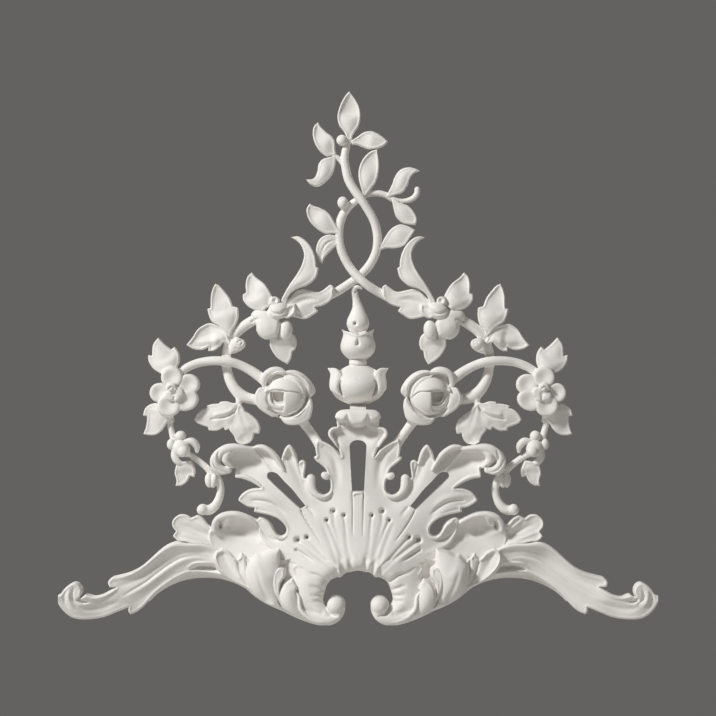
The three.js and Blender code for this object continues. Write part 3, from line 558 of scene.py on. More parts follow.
stroke([(-3, 206.5)], 1.5, -8, both=False)
turned([(170.2, 7.5), (171, 9.4), (173, 12), (176.4, 15.2), (180.6, 17.2), (185, 17.4), (189.4, 16.4),
    (194, 15), (197.6, 15), (201, 16.8)], [(0, 195.2), (3, 196.2), (7, 197.6), (11, 198.4), (14, 199.6),
    (17, 201)])
stroke([(12.4, 193), (14.2, 196.4), (15.8, 199.6)], 1.2, [0.4, 1.4, 1.6])
stroke([(0, 194), (4, 194.6), (9, 196.4), (13.6, 197.8)], 0.9, 1.0)
stroke([(-0.4, 191.4), (-0.4, 189), (-0.4, 186)], [0.5, 1.1, 1.6], [-2, -5, -6], both=False)
for level, half in ((171.1, 9), (164.3, 9), (126.2, 8)):
    stroke([(0, level), (half, level)], 0.7, -2.6)

# ---- The fan ----
# Broad plaster lobes spread from the throat, each rolled at its end. Flutes run down them to drilled
# eyes and on into the throat, and the wall shows through three openings.


def opening(outline):
    """Cuts a paired opening right through what has been laid so far."""
    where, _, _, s = within(edge(*outline), True)
    for rim in (inside, inside[:, ::-1]):
        rim[where] = np.minimum(rim[where], -s)


fan_rise = surface({(0, 116): 34, (18, 112): 34, (0, 100): 28, (13, 101): 28, (26, 97): 33, (15, 85): 34,
    (15, 70): 33, (15, 50): 34, (36, 84): 33, (23, 72): 33, (36, 70): 31, (36, 54): 33, (47, 45): 33,
    (35, 30): 34, (68, 84): 30, (68, 70): 30, (58, 55): 32, (54, 69): 31, (108, 71): 25.5, (96, 60): 28.5,
    (120, 55): 27, (93, 47): 31, (136, 75): 32, (117, 31): 28, (96, 30): 32, (73, 15): 35, (102, 20): 29,
    (96, 8): 30, (83, -4): 31, (58, 10): 38, (58, -10): 40, (38, 20): 38, (18, 20): 40, (0, 20): 41,
    (0, -10): 46, (0, -30): 52, (28, -10): 45, (28, -30): 51, (48, -30): 46, (63, -30): 41, (78, -15): 34,
    (16, -36): 52, (36, -42): 51})


def fan_bead(x, z):
    """The raised edge of the lobes, which fades out towards the throat."""
    bead, foot, fade = 1.3, -14, 20
    return bead * np.clip((z - foot) / fade, 0, 1)


sheet([[(-10, 118), (12, 117), (18.6, 114), (21.4, 110)], [(20.4, 103.4)],
    [(25.8, 102.8), (29.4, 99.2), (29.4, 95.3), (26, 91.1), (21, 85), (16.8, 74.4)],
    [(21.6, 80.4), (27.6, 85.2), (34.6, 88.8), (40, 90.8)], [(42.1, 87), (42.3, 81), (41.2, 74.8)],
    [(44, 73)], [(41.6, 69.6), (36.6, 65.8), (32, 61.4), (30.4, 57)],
    [(27.4, 48), (27.2, 43.4), (28.6, 39), (34.6, 35.8), (40.6, 38), (42.4, 43.3), (42.4, 48.4)], [(50, 52)],
    [(53.2, 52.6), (53, 58.6), (52, 65.7), (53, 69.4), (56.4, 70.4), (59.4, 68)],
    [(60.6, 72.9), (62.6, 79), (65.4, 83.2), (68.8, 85.6), (72.4, 82.2), (75.1, 75.6), (76.7, 69)],
    [(81.7, 76.6), (88, 81.4), (94.6, 84.6), (100.4, 85.6), (103.2, 84)],
    [(109.1, 83.9), (118.3, 85.8), (124.4, 86.6), (131, 84.6), (136.4, 81), (140, 77), (141, 72)],
    [(138, 66), (127.7, 62.1)], [(121.4, 62.2)], [(122.4, 56.6), (121.9, 52.9)],
    [(115.2, 52), (107.1, 49), (96.2, 42.7)], [(105, 42), (112.2, 39.2), (117.3, 34.6), (118.9, 30.6),
    (115.2, 27.3), (109.1, 23.9), (102.8, 22.9)], [(103.5, 19)],
    [(95.9, 17.4), (87.7, 15.4), (79.5, 12), (73.4, 6.8), (71, 1.4), (73.2, -3.6), (77.4, -4.9), (82.4, -1),
    (85, 5), (89.7, 10.4), (95.9, 13.4), (98.6, 13.4)], [(100.6, 10.4), (99.6, 6), (96, -6), (82, -22),
    (64, -32), (46, -36)], [(28, -30), (8, -23.6), (-10, -23.6)]], fan_rise, rim=fan_bead, lip=2.2)
sheet([[(-10, 30), (28, 24), (62, 6), (74, -18), (62, -44), (40, -56)],
    [(31.6, -52), (26.8, -48), (20.6, -45.4)], [(17.4, -45.6), (14.4, -43)], [(11, -40.6), (7, -40.4)],
    [(3, -39.2), (-10, -38.6)]], fan_rise, rim=0, lip=13)
opening([[(-10, 90.6), (4, 89.8), (7.6, 87), (8.5, 84)], [(6, 39.5)], [(-10, 39.5)]])
opening([[(57.2, 21.4), (63.6, 27.4), (74.4, 37.6), (85.4, 48), (90.6, 54), (89.6, 57.8), (85.6, 58.8),
    (81, 57.4), (73.4, 49.6), (65, 41.2), (57.8, 32.2), (51.6, 24.8)]])

# Soft channels down the middles of the lobes, and the drilled eyes with the flutes below them.
for line, wide, deep in (
    ([(120, 71), (108, 70), (96, 63), (84, 52), (72, 40)], [8, 9, 8, 6, 4], [-3, -4, -3, -2, 0]),
    ([(101, 80.4), (93, 77.4), (86, 71), (80, 63)], [2, 2.4, 2.4, 2], [-1.6, -2.2, -2, -0.4]),
    ([(106.4, 83), (101.6, 78), (95.4, 71.2), (89.4, 63.4), (85, 56)], 1.2, [1, 2, 2, 1.6, 0]),
    ([(69, 77), (65, 67), (57, 50), (46, 30)], [3.2, 3.8, 3.8, 3], [-1, -2, -1.6, 0]),
    ([(59, 66), (57.4, 60), (53.4, 49), (47, 37)], [1.1, 1.3, 1.4, 1], [-1.2, -1.6, -1.4, 0]),
    ([(55, 66.4), (54.6, 59), (52, 52)], 1.4, [-0.8, -1, 0]),
    ([(34, 83), (25, 74), (21, 60), (20, 40)], [3, 3.6, 3.6, 3], [-1.4, -2.2, -1.6, 0]),
    ([(25, 98.6), (23, 91), (17, 78)], [2, 2.6, 2], [-3, -2.6, -0.6]),
    ([(105, 30.2), (98, 30.4), (90, 29), (82, 25), (72, 16)], [1.2, 1.4, 1.5, 1.6, 1.4],
     [-1, -2, -2.2, -2, -0.4]),
    ([(112, 35), (100, 35.4), (86, 32), (72, 22)], [2.4, 3, 3, 2.4], [0.6, 1.2, 1.2, 0]),
    ([(100, 24), (90, 22), (80, 16), (68, 4)], [2, 2.6, 2.6, 2], [0.6, 1, 1, 0]),
    ([(118, 53), (108, 52), (96, 46)], 1.0, [-1, -1.4, -0.6]),
    ([(96, 9), (90, 4), (86, -3)], 1.6, [0.6, 1.2, 1]),
    ([(99.4, 8), (95, -1), (86, -8), (75, -9)], 1.3, [-1.6, -2, -1.6, -0.6]),
    ([(24.4, 19), (23.4, 8), (20, -6), (15, -26)], [1.5, 2.2, 2.8, 3], [-1.2, -0.7, -0.8, -1.1]),
    ([(13.8, 15), (12.6, 6), (11.6, -8), (9, -28)], [1.2, 1.7, 2.3, 2.6], [-1.2, -0.8, -0.7, -1]),
    ([(31, 10.4), (27, 2), (22, -11), (17, -24)], [1.2, 1.5, 1.8, 1.8], [-1.6, -0.9, -0.7, -0.4]),
    ([(38, 14), (33, 2), (27, -13), (21, -32)], [2, 2.4, 2.4, 2.2], [0, -0.8, -0.8, -1.2]),
    ([(60, -8.8), (54, -13.4), (44, -21), (32, -30.6), (22, -38)], [1.9, 1.8, 1.9, 1.9, 2],
     [-2, -1.6, -1.8, -1.8, -1.6]),
    ([(50.7, -6), (45, -12), (37, -21), (28, -31), (22, -39)], [1.4, 1.5, 1.6, 1.6, 1.6],
     [-2, -1.4, -1.5, -1.4, -0.8]),
    ([(61.4, -18.4), (54, -23), (43, -31)], [1.4, 1.4, 1], [-3.4, -3, -0.6]),
    ([(60.4, -14), (52, -19.6), (40, -28)], [1.2, 1.4, 1.2], [0.6, 1.2, 0.4]),
    ([(5.7, 39), (5.2, 15), (5, -6)], 0.7, [-2.6, -2.2, 0]),
    ([(56.4, 20.4), (54.6, 16.6), (48.4, 6), (41, -4.6), (36, -11)], 0.8, [-2.6, -2.4, -2.2, -1.4, 0]),
    ([(49.4, 23.4), (46, 19.4), (42, 13)], [1.4, 1.6, 1.4], [-1.4, -1, 0]),
    ([(32, -27), (26, -34), (19.4, -44.6)], [2.2, 2.2, 1.9], [-0.4, -2.4, -3.4]),
    ([(26, -27), (20, -34.6), (16.2, -43.4)], [2.4, 2.6, 2.4], [0, 1.2, 1.6]),
    ([(20, -25), (15.6, -33.4), (13, -43)], [2.2, 2.2, 1.9], [-0.4, -2.4, -3.4]),
    ([(13.4, -26), (11, -33.6), (9.6, -41)], [2.2, 2.2, 2], [0, 0.9, 1.2]),
    ([(7.2, -24), (7.4, -31.6), (5.6, -41)], [2.2, 2, 1.8], [-0.4, -2.2, -2.8]),
):
    stroke(line, wide, deep)
eye_depth = -8
for eye, wide in (
    ((24.3, 20), 1.9), ((13.8, 16), 1.4), ((31, 11.2), 1.4), ((60, -8.6), 2.3), ((50.7, -5.8), 1.6),
):
    stroke([eye], 1.12 * wide, eye_depth)
stroke([(4.6, 34), (4.2, 36.6), (2, 37.8), (-2, 38)], 1.0, [0.4, 1.4, 1.6, 1.6])

# The rolled ends of the lobes.
strand([(129, 60.6), (135.4, 60.6), (141, 64.4), (142.2, 70.4), (139.2, 76.2), (133.6, 80.4), (127, 82.6),
    (119, 83.2), (111, 82.4), (104, 81.6)], [3.4, 4.8, 5, 4.8, 4.4, 4.4, 3.8, 2.8, 2.2, 1.5],
    [33, 35, 36.5, 37.5, 38.5, 39, 38.6, 37.6, 36, 34], crest=[2.4, 3.4, 4, 4, 4, 4, 3.4, 2.4, 1.8, 1.2])
strand([(125, 80.4), (130, 76.6), (131.4, 71), (128, 65.6)], [2.4, 3.6, 3.8, 3], [37, 38, 37, 35],
    crest=[1.8, 3, 3, 2.2])
stroke([(137.8, 79.4), (139.4, 74.4), (137.4, 69.4), (132.6, 65.6), (127, 64)], [0.9, 1.1, 1.2, 1.2, 1],
    [-1, -2.6, -3.4, -3.4, -2])
stroke([(144.6, 70.4), (142.4, 65), (137.4, 60.2), (132.4, 58.6)], 0.9, [-0.6, -1.8, -1.8, -0.6])
strand([(102.2, 83.4), (95.4, 83.6), (88.6, 80.2), (83, 75.2), (78.2, 68.4), (74, 61)],
    [1.4, 2.2, 2.3, 2.2, 1.8, 1.2], [34, 35.5, 36, 35.5, 34.5, 33.6], crest=1.8)
strand([(121, 54.2), (114, 54), (106, 51), (97, 45.6)], [1.2, 1.5, 1.5, 1.1], [30.6, 31.3, 31.8, 32.2],
    crest=1.2)
strand([(74, 74), (71.6, 80), (68.8, 83.6), (65.6, 80.4), (63, 74.4), (61, 69)], [1.1, 1.3, 1.5, 1.4, 1.2, 1],
    [32.6, 33.6, 34.4, 34, 33, 32.6], crest=1.2)
strand([(20.6, 102.4), (25, 101.4), (27.8, 98.4), (27.8, 95.2), (24.6, 90.6), (20.4, 84)],
    [1, 1.4, 1.6, 1.6, 1.3, 0.9], [35.6, 37, 37.6, 37.6, 37, 35.6], crest=1.4)
knob((32.4, 54.6), (4.6, 3.4), 36.6, crest=2.6, turn=0.5)
strand([(47, 52), (46.8, 46.4), (45.2, 41), (40.6, 36), (34.6, 34), (29.4, 35.6), (26.6, 39)],
    [4.2, 4.4, 3.6, 2.6, 2.1, 1.7, 1.1], [36, 37, 37.4, 37.8, 38, 37.6, 36],
    crest=[3.2, 3.2, 2.8, 2.2, 1.8, 1.5, 1])
strand([(94, 9.6), (88.4, 5.4), (84.8, 0), (81.2, -5), (77, -7), (72, -5.8), (69, -0.6)],
    [1, 1.2, 1.3, 1.4, 1.4, 1.4, 1], [32.4, 33.6, 34.4, 35, 35.4, 36, 36], crest=1.2)

# ---- The crown over the fan ----
# A thick lip of plaster rolls forward in scallops where the finial stands on the fan, hollow beneath.
sheet([[(-10, 120.6), (12, 120.6), (18, 119.6), (21.6, 117), (23, 113)],
    [(21, 111), (17, 109.2), (12.8, 109.6), (10.6, 112.4)], [(7.6, 108.2), (3.6, 105.4), (-10, 104.8)]],
    surface({(0, 120): 42, (0, 106): 45, (18, 118): 41, (16, 110): 44, (8, 115): 44}), rim=0, lip=5)
stroke([(10.6, 111.4), (10.2, 117)], [1.2, 1], [-2.4, -0.4])
stroke([(21, 108.6), (17, 106.8), (11.4, 107.6), (7, 104), (-10, 102)], [2.4, 2.6, 2.6, 2.6, 2.4], -3.4)

# ---- The lower scroll and the spiky leaf ----
# The lowest lobe rolls over at its outer end, and a thin pointed leaf springs from behind it. Both
# are cast with the fan and the arm.
sheet([[(94, 9), (102, 11.6), (108, 14.6), (115.6, 17.6), (124.4, 18.6), (131, 17.8), (139.6, 14), (144, 9.6),
    (145.8, 3.8)], [(148.6, -3), (148, -11), (144, -19), (134, -26)],
    [(108, -32), (74, -30), (58, -26), (68, -16), (78, -8), (87, 0), (94, 9)]],
    surface({(118, 4): 20, (102, -2): 23, (126, 16): 30, (110, 13): 29, (144, 6): 28, (133, -15): 23,
    (145, -10): 23, (118, -16): 24, (88, -15): 29, (73, -20): 35, (94, 6): 29, (108, -26): 29, (62, -26): 40,
    (83, -2): 29}), rim=0.6, lip=2)
strand([(143.4, 1), (143, 6), (141, 10.4), (136.6, 14), (130.4, 16), (124, 16.6), (116.6, 15.6), (109, 12.6),
    (102, 8.4)], [2, 2.8, 3, 3, 2.8, 2.5, 2.2, 2, 1.4], [30, 33, 35, 36, 36, 36, 35, 34, 32],
    crest=[1.6, 2.2, 2.6, 2.6, 2.4, 2.2, 2, 1.7, 1.2])
leaf([[(130, 15), (133.4, 12.6), (135, 9.4), (134.6, 5.4)]],
    [[(122, 14.6), (126.6, 11), (128.6, 7.4), (132, 5.6)]], [34, 33, 31, 28], [1, 1.6, 1.2, 0.4], 0.4,
    lip=1.6)
stroke([(137.2, 9.6), (137, 4)], 1.5, [-4, -7])
stroke([(126.2, 9.6), (128.4, 4.6)], 2.2, [-1.6, -2])
stroke([(96, -10), (82, -16), (66, -23)], [3, 2.6, 2], [1.4, 1.4, 0.4])
stroke([(140, -1), (126, -6), (108, -11), (88, -19)], [3, 4, 4, 3], [1, 1, 0.6, 0])
leaf([[(130, -4), (142, 1.4), (149.2, 6), (154.6, 12.4), (160, 15.4)], [(166.4, 12.4)],
    [(172, 15.6), (178.4, 15.6), (183.2, 12.4)]], [[(130, -20), (144, -17), (154, -13.6), (166, -12.6)],
    [(172, -11), (179.2, -10.2), (184.4, -5.2)], [(181.2, -0.6)], [(184.6, 4), (185, 9)]],
    [17, 24, 26, 25, 23, 22], [-2, -3, -3.4, -2.4, -1, 0], 1.0, lip=1.6)
stroke([(144, -8), (158, -1.4), (168, 3.4), (177, 7)], [2, 2.6, 2.6, 2], [0, -1.6, -1.6, -0.2])
stroke([(146, -3), (155, 4), (163, 10.4)], 1.4, [0, 1.6, 0.8])
stroke([(152, -11), (166, -6.4), (178, -1.6)], 1.6, [0, 1.2, 0.8])

# ---- The arm ----
# A long grooved leaf of plaster lies along the bottom, with a narrow face below it, and its outer end
# opens and curls up at the tip.
sheet([[(132, -22), (144, -16), (156, -12.6), (168, -12.4), (181.2, -11), (191.2, -14.8), (198.4, -20.2),
    (208, -29), (217, -36.4), (227, -41.4), (238.4, -44.6), (245, -46.4), (248.8, -51), (247.4, -56)],
    [(241, -56.4)], [(248.2, -60.4), (255.4, -64), (262.6, -65.2), (270.4, -62.8)], [(277.4, -67.6)],
    [(274.6, -61.4), (275.8, -55), (281, -51.2), (287.4, -53.6), (292.6, -58.4), (296, -63), (299.6, -64)],
    [(299.4, -69), (296, -76), (291, -82), (284, -86.6), (276, -88.2), (265, -88), (253, -86), (240.6, -81.2),
    (228.8, -76.4)], [(229.2, -79.6), (227, -83.6)], [(220, -80.8), (212, -74), (205, -66), (198, -59.4),
    (190, -53.6), (181, -47.8), (170, -43), (158, -41.6), (144, -43), (130, -47), (112, -54)],
    [(106, -42), (118, -30), (132, -22)]], surface({(118, -35): 28, (118, -50): 25, (144, -18): 25,
    (144, -40): 19, (168, -17): 25, (168, -38): 16, (182, -15): 25, (186, -30): 19, (198, -26): 22,
    (194, -50): 17, (218, -41): 23, (208, -62): 18, (223, -60): 22, (243, -50): 25, (226, -78): 20,
    (246, -68): 27, (258, -70): 28, (258, -84): 23, (278, -76): 30, (292, -70): 31, (280, -57): 34,
    (284, -83): 27}), rim=0.9, lip=2.8)
sheet([[(208, -71), (200, -63.4), (190, -57), (178, -51.6), (168, -49), (158, -47.8), (146, -47.8),
    (134, -49.4), (124, -51.4), (114, -56.2), (106, -62.6)],
    [(104, -50), (132, -40), (162, -36), (188, -44), (208, -62), (208, -71)]],
    surface({(198, -57.4): 5, (194, -60.6): 1, (183, -49): 6, (182, -54.6): 1, (163, -41.6): 6,
    (163, -48.6): 1, (144, -42.6): 7, (144, -48.6): 1, (124, -46): 10, (124, -51.6): 3, (108, -55): 18,
    (108, -62): 8, (168, -35): 6, (144, -35): 8}), rim=0, lip=1)
for line, wide, high in (
    ([(146, -19), (158, -16), (170, -15.6), (182, -15), (192, -19.6), (202, -27.4), (212, -35.4), (224, -43),
     (237, -47.6), (244, -49)], [1.6, *[1.8] * 7, 1.7, 1.4],
     [0.4, 1, 1.6, 1.8, 1.8, 1.6, 1.4, 1.4, 1.2, 0.4]),
    ([(136, -31.6), (146, -29.6), (160, -27.4), (174, -30), (186, -36.4), (198, -45), (210, -54),
     (224, -62.6), (238, -69.6)], [2, 2.4, 2.8, 3, 3, 2.8, 2.6, 2.2, 1.8],
     [0.2, 0.6, 1, 1.3, 1.3, 1.3, 1.1, 0.7, 0]),
    ([(136, -30), (150, -27), (162, -25), (176, -27.6), (188, -34), (200, -42.6), (212, -51.6), (226, -60),
     (237, -67)], 1.2, [-0.1, -0.3, -0.6, -1.1, -1.4, -1.4, -1.2, -0.9, 0]),
    ([(141, -32.6), (154, -31.8), (164, -33), (169.4, -37)], 1.2, [0.2, 1.4, 1.8, 0.6]),
    ([(144, -42.6), (158, -43), (170, -44.4), (182, -49.4), (194, -57), (206, -67), (217, -76.6)], 1.6,
     [0.3, *[0.5] * 5, 0.4]),
    ([(172, -21), (188, -27), (201, -36), (215, -45.6), (229, -52.4), (240, -56)], [4, 4.4, 4.4, 4, 3.4, 2.4],
     [-0.6, -1.6, -2, -1.8, -1.4, -0.4]),
    ([(174, -40), (188, -46.6), (202, -57), (216, -67.6), (227, -74)], [2.6, 3, 3, 2.6, 2],
     [-0.3, -0.6, -0.7, -0.6, -0.2]),
    ([(142, -23.4), (156, -21), (168, -21), (178, -22.6)], [2, 3, 3, 2.4], [-0.3, -0.9, -0.9, -0.4]),
    ([(139, -38.4), (149, -37.4), (159, -37.4), (166, -38.8)], [2.2, 2.7, 2.4, 1.4], [-6, -9, -8, -2]),
    ([(240, -71), (250, -74.6), (261, -77), (272, -77.6), (281, -74)], [2, 3, 3.4, 3, 2.2],
     [-0.6, -1.6, -1.8, -1.6, -0.4]),
    ([(241, -58.6), (247, -62.6), (255, -66), (263, -67.6), (271, -65.8)], [1.4, 1.6, 1.6, 1.6, 1.4],
     [0.6, 1.2, 1.4, 1.4, 1]),
    ([(278, -68.6), (273.4, -70.4), (268, -70)], 1.6, [-3.6, -4, -1]),
    ([(289, -58.6), (292.2, -64), (291.2, -71), (286.4, -78)], 1.5, [0, -1.4, -1.4, 0]),
    ([(281, -55.6), (284, -61), (283.6, -67.6), (279, -72.6)], 1.4, [0, -1.8, -2, -0.8]),
    ([(286, -58), (288, -64), (286.6, -71), (281, -77)], 2, [0.4, 1.6, 1.6, 0]),
):
    stroke(line, wide, high)

# ---- The shell's turned edge, its leaves and the volute ----
# The thickest part of the casting: the trunk sweeps from the throat into a ball-ended volute, and
# three leaves lap over its outer side.
sheet([[(21, -44.4), (26, -47.6), (30, -52), (32.4, -58), (34, -64), (34.6, -69), (32, -74.4)],
    [(22, -76), (12.6, -77)], [(14, -81.8), (19.2, -88.4), (26.7, -92), (35.5, -92.8), (45, -91.4),
    (55.5, -88.6), (68, -82.8), (80.5, -77.2), (93, -71), (101.7, -65.4), (111, -58)],
    [(112, -42), (96, -30), (73, -22), (46, -22), (23, -26), (16, -34), (21, -44.4)]],
    surface({(108, -58): 26, (96, -42): 34, (88, -70): 34, (74, -30): 36, (68, -82): 40, (66, -45): 40,
    (58, -36): 43, (46, -60): 50, (48, -87): 47, (38, -82): 52, (22, -82): 53, (28, -36): 51, (32, -52): 50,
    (40, -70): 51, (56, -70): 49, (70, -60): 42, (54, -50): 48, (42, -45): 49.5}), rim=0, lip=11)
layer([[(67, -27), (64, -36), (61.4, -43), (61.4, -52), (58, -64)],
    [(54, -82), (74, -82), (86, -60), (82, -40), (74, -30), (67, -27)]], -3.4, 6)
stroke([(57, -34), (61.6, -34), (64, -37), (62.6, -41), (59.4, -43.4)], 1.5, [0.3, 1.2, 1.6, 1.4, 0.4])
stroke([(56, -36.6), (49, -41), (40, -43.4), (32, -49)], [1.2, 1.6, 1.8, 1.6], [-0.6, -1.6, -3, -3])
leaf([[(105.4, -60.6), (114, -55), (124, -50), (132, -44), (139.8, -35), (142.4, -26), (140.6, -20.6)],
    [(135.4, -18.4)]], [[(101, -58), (102, -40), (108, -30)], [(115.6, -22.8)],
    [(119, -27.6), (122, -27.4), (127, -22.4), (131.4, -19.6)]], [30, 33, 34, 33, 31], [3, 2, -0.6, -2.4, -1],
    1.4, lip=2.2)
stroke([(120.4, -28), (117.4, -40), (110, -54), (105, -62)], [1.1, 1.3, 1.2, 1], [-2.6, -3.4, -2, -0.6])
stroke([(134, -23.6), (128, -36), (117, -51)], 3, [-1.4, -1, -0.3])
stroke([(111.4, -27), (110, -36), (107, -50)], [1.2, 1.6, 1.2], [-3, -4, -3])
leaf([[(92, -71.6), (100, -66), (106, -58), (108.6, -50), (109.2, -40), (108, -33.4)],
    [(103.4, -28), (100, -25)], [(96.6, -25), (88, -20.6), (78.6, -18.4)]],
    [[(74, -78), (78.4, -72), (80.4, -64), (80, -54), (77.6, -44), (78.2, -32)]], [38, 41, 43, 43, 42],
    [3, 6.5, 7, 5, 2], 0.5, lip=3, power=0.8)
leaf([[(75, -76), (81.4, -62), (84, -50), (82.4, -41), (78, -36), (73.2, -37)]],
    [[(73.6, -74), (78, -62), (77.6, -52), (73.4, -44.4)]], [39, 44, 46, 46, 45], [1, 1.6, 1.6, 0.8], 0.9,
    lip=1.8)
stroke([(101, -32), (99, -44), (94, -58), (87, -70)], 2, [0, -0.8, -1, -0.4])
leaf([[(57, -85.6), (67, -81), (74.6, -73), (76.8, -64), (74.6, -56), (70, -50), (65, -47.4)]],
    [[(52, -86), (57.6, -80), (59.4, -72), (60.4, -64)], [(61.6, -60), (60.6, -55)]], [45, 49, 50, 47],
    [1.5, 4, 4, 1.4], 0.5, lip=2.6, power=0.8)
strand([(61.4, -60), (58.6, -64.6), (58, -71), (56.6, -77), (52, -82.6), (45.4, -86.8), (37.4, -89.2),
    (30, -88.8)], [1, 1.6, 1.8, 2, 2.2, 2.3, 2, 1.2], [50, 52, 53, 53.4, 53.6, 53.8, 53.8, 53], crest=2)
for line, deep in (
    ([(49, -52.8), (42, -55), (33.4, -58)], -2.2),
    ([(48, -62), (41.4, -63.4), (34, -63.2)], -1.9),
    ([(47, -68.8), (41.4, -68.8), (35.4, -69.2)], -1.4),
    ([(52, -76), (45, -79), (36, -81)], -1),
):
    stroke(line, [2.2, 1.9, 1.7], [0, deep, deep])
strand([(54, -80), (46, -85), (37, -87.4), (28, -87), (20.4, -83), (17, -76)], [3, 4.6, 5.4, 5.6, 5, 3.4],
    [50, 52.4, 53.4, 53.6, 53.6, 53], crest=[3, 4.4, 5, 5, 4.6, 3])
knob((21.6, -73.4), (9.1, 8.6), 57, crest=8.2)
stroke([(31.4, -73.6), (30.4, -78.6), (26.4, -82.6), (20.4, -83.6)], [1.1, 1.2, 1.2, 1], [-2, -3, -3, -1])

# ---- Casting the ornament ----
# The carved front is cut along its edge, walled straight down to the flat back and closed there, so
# that the whole ornament is one solid piece of plaster, glued or pinned to the wall by its back.
trim_half, trim_top, trim_foot = 298.2, 437.8, 92.6
thinnest, deepest = 4, 56.8
inside = np.minimum(inside, trim_half - np.abs(across)[None, :])
inside = np.minimum(inside, np.minimum(trim_top - upward, upward + trim_foot)[:, None])
height = np.clip(height, thinnest, deepest)

# The edge keeps this far from the nodes of the grid, so that no triangle is too thin.
least = 0.15 * grain
inside = np.where(np.abs(inside) < least, np.where(inside < 0, -least, least), inside)

rows = len(upward)
node = np.arange(rows * columns).reshape(rows, columns)
level, depth = inside.ravel(), height.ravel()
a, b, c, d = node[:-1, :-1].ravel(), node[:-1, 1:].ravel(), node[1:, 1:].ravel(), node[1:, :-1].ravel()
odd = (np.add.outer(np.arange(rows - 1), np.arange(columns - 1)) % 2).ravel().astype(bool)
triangles = np.concatenate([
    np.stack([a, b, c], 1)[odd], np.stack([a, c, d], 1)[odd],
    np.stack([a, b, d], 1)[~odd], np.stack([b, c, d], 1)[~odd]])
held = (level[triangles] > 0).sum(1)


def turned_first(group, wanted):
    """The same triangles, each started at the corner that alone is in, or alone is out."""
    first = np.argmax((level[group] > 0) == wanted, 1)
    return np.take_along_axis(group, (first[:, None] + np.arange(3)) % 3, 1)


whole = triangles[held == 3]
one = turned_first(triangles[held == 1], True)
two = turned_first(triangles[held == 2], False)
base = rows * columns


def crossing(p, q):
    """The name of the point where the edge passes between an inner and an outer node."""
    return np.minimum(p, q) * base + np.maximum(p, q)


ends = np.concatenate([
    np.stack([crossing(one[:, 0], one[:, 1]), crossing(one[:, 0], one[:, 2])], 1),
    np.stack([crossing(two[:, 0], two[:, 1]), crossing(two[:, 0], two[:, 2])], 1)])
names, where = np.unique(ends, return_inverse=True)
where = where.reshape(ends.shape) + base
cut_one, cut_two = where[: len(one)], where[len(one):]
faces = np.concatenate([
    whole,
    np.stack([one[:, 0], cut_one[:, 0], cut_one[:, 1]], 1),
    np.stack([cut_two[:, 0], two[:, 1], two[:, 2]], 1),
    np.stack([cut_two[:, 0], two[:, 2], cut_two[:, 1]], 1)])
rim_edges = np.concatenate([cut_one, cut_two[:, ::-1]])

p, q = names // base, names % base
inner, outer = np.where(level[p] > 0, p, q), np.where(level[p] > 0, q, p)
share = level[inner] / (level[inner] - level[outer])
place = np.stack([np.tile(across, rows), np.repeat(upward, columns)], 1)
cut = place[inner] + share[:, None] * (place[outer] - place[inner])
cut_depth = np.minimum(depth[inner], depth[outer] - draft * level[outer])
points = np.concatenate([np.c_[place, depth], np.c_[cut, cut_depth]])

everything = np.concatenate([faces, np.c_[rim_edges, rim_edges[:, :1]]])
used, faces = np.unique(everything, return_inverse=True)
faces = faces.reshape(-1, 3)
rim_edges, faces = faces[-len(rim_edges):, :2], faces[: -len(rim_edges)]
per_metre = 1000
points = points[used] / per_metre
count = len(points)
front = np.c_[points[:, 0], -points[:, 2], points[:, 1]]
back = front * (1, 0, 1)
tops, tails = rim_edges[:, 0], rim_edges[:, 1]
shell = np.concatenate([
    faces, faces[:, ::-1] + count,
    np.stack([tails, tops, tops + count], 1),
    np.stack([tails, tops + count, tails + count], 1)])
mesh = bpy.data.meshes.new("plaster_relief")
mesh.from_pydata(np.concatenate([front, back]).tolist(), [], shell.tolist())
mesh.update()
relief = bpy.data.objects.new("plaster_relief", mesh)
bpy.context.scene.collection.objects.link(relief)
bpy.ops.object.select_all(action="DESELECT")
relief.select_set(True)
bpy.context.view_layer.objects.active = relief
most_triangles = 190000
if len(shell) > most_triangles:
    thin = relief.modifiers.new("thin", "DECIMATE")
    thin.ratio = most_triangles / len(shell)
    bpy.ops.object.modifier_apply(modifier=thin.name)
nearly_back = -0.0005
for vertex in relief.data.vertices:
    if vertex.co.y > nearly_back:
        vertex.co.y = 0
sharpest_smooth = 38
bpy.ops.object.shade_smooth_by_angle(angle=math.radians(sharpest_smooth))


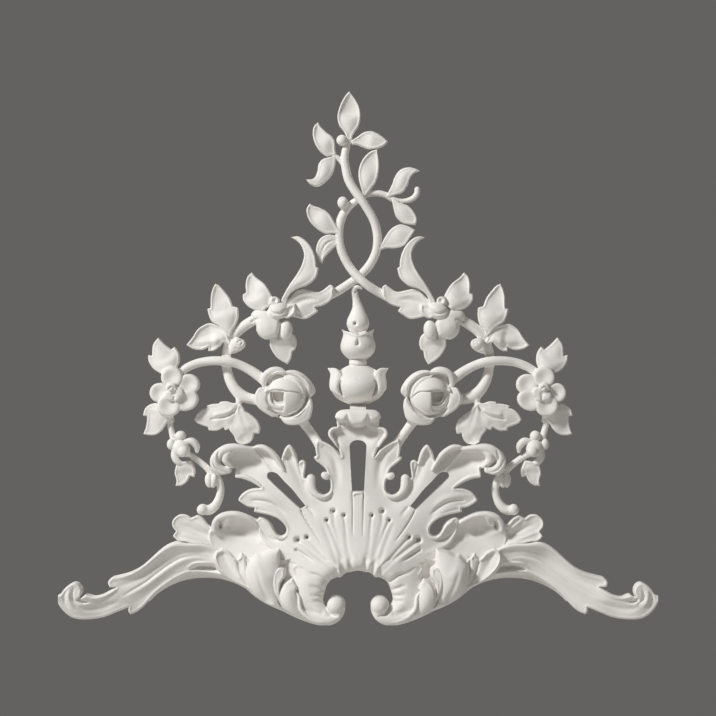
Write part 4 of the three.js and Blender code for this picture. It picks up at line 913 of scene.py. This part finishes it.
class Shade:
    """A node's output, which can be used in sums like a number."""

    def __init__(self, socket):
        self.socket = socket

    @classmethod
    def node(cls, kind, settings, values, out=0):
        """Makes a node with its settings, and its values or links."""
        node = cls.tree.nodes.new(kind)
        for name, setting in settings.items():
            setattr(node, name, setting)
        for name, value in values.items():
            if isinstance(value, Shade):
                cls.tree.links.new(value.socket, node.inputs[name])
            else:
                node.inputs[name].default_value = value
        return cls(node.outputs[out])

    def sum(self, operation, first, second):
        return self.node("ShaderNodeMath", {"operation": operation}, {0: first, 1: second})

    def __add__(self, other):
        return self.sum("ADD", self, other)

    def __radd__(self, other):
        return self.sum("ADD", other, self)

    def __sub__(self, other):
        return self.sum("SUBTRACT", self, other)

    def __rmul__(self, other):
        return self.sum("MULTIPLY", other, self)


# Matt warm white over fine plaster: faint clouds in the colour, a slightly uneven sheen and a fine
# grain left by the brush.
paint = bpy.data.materials.new("matt white plaster")
paint.use_nodes = True
Shade.tree = paint.node_tree
place = Shade.node("ShaderNodeTexCoord", {}, {}, "Object")
brushed = Shade.node("ShaderNodeVectorMath", {"operation": "MULTIPLY"}, {0: place, 1: (90, 90, 900)})
cloud, grit, brush = (
    Shade.node("ShaderNodeTexNoise", {}, {
        "Vector": over, "Scale": scale, "Detail": detail, "Roughness": rough}, "Fac")
    for over, scale, detail, rough in ((place, 16, 3, 0.5), (place, 520, 3, 0.6), (brushed, 1, 2, 0.5)))
colour_a, colour_b, colour_out = 6, 7, 2
colour = Shade.node("ShaderNodeMix", {"data_type": "RGBA"}, {
    "Factor": 1.2 * cloud + 0.5 * grit - 0.35,
    colour_a: (0.80, 0.775, 0.735, 1), colour_b: (0.89, 0.87, 0.835, 1)}, colour_out)
finish = paint.node_tree.nodes["Principled BSDF"]
grain_bump = Shade.node("ShaderNodeBump", {}, {
    "Strength": 0.22, "Distance": 0.0005, "Height": 0.6 * grit + 0.4 * brush}, "Normal")
uneven = 0.5 + 0.16 * cloud + 0.08 * grit
Shade.tree.links.new(colour.socket, finish.inputs["Base Color"])
Shade.tree.links.new(uneven.socket, finish.inputs["Roughness"])
Shade.tree.links.new(grain_bump.socket, finish.inputs["Normal"])
finish.inputs["Specular IOR Level"].default_value = 0.4
relief.data.materials.append(paint)

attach(relief, "root")
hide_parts("ornament")
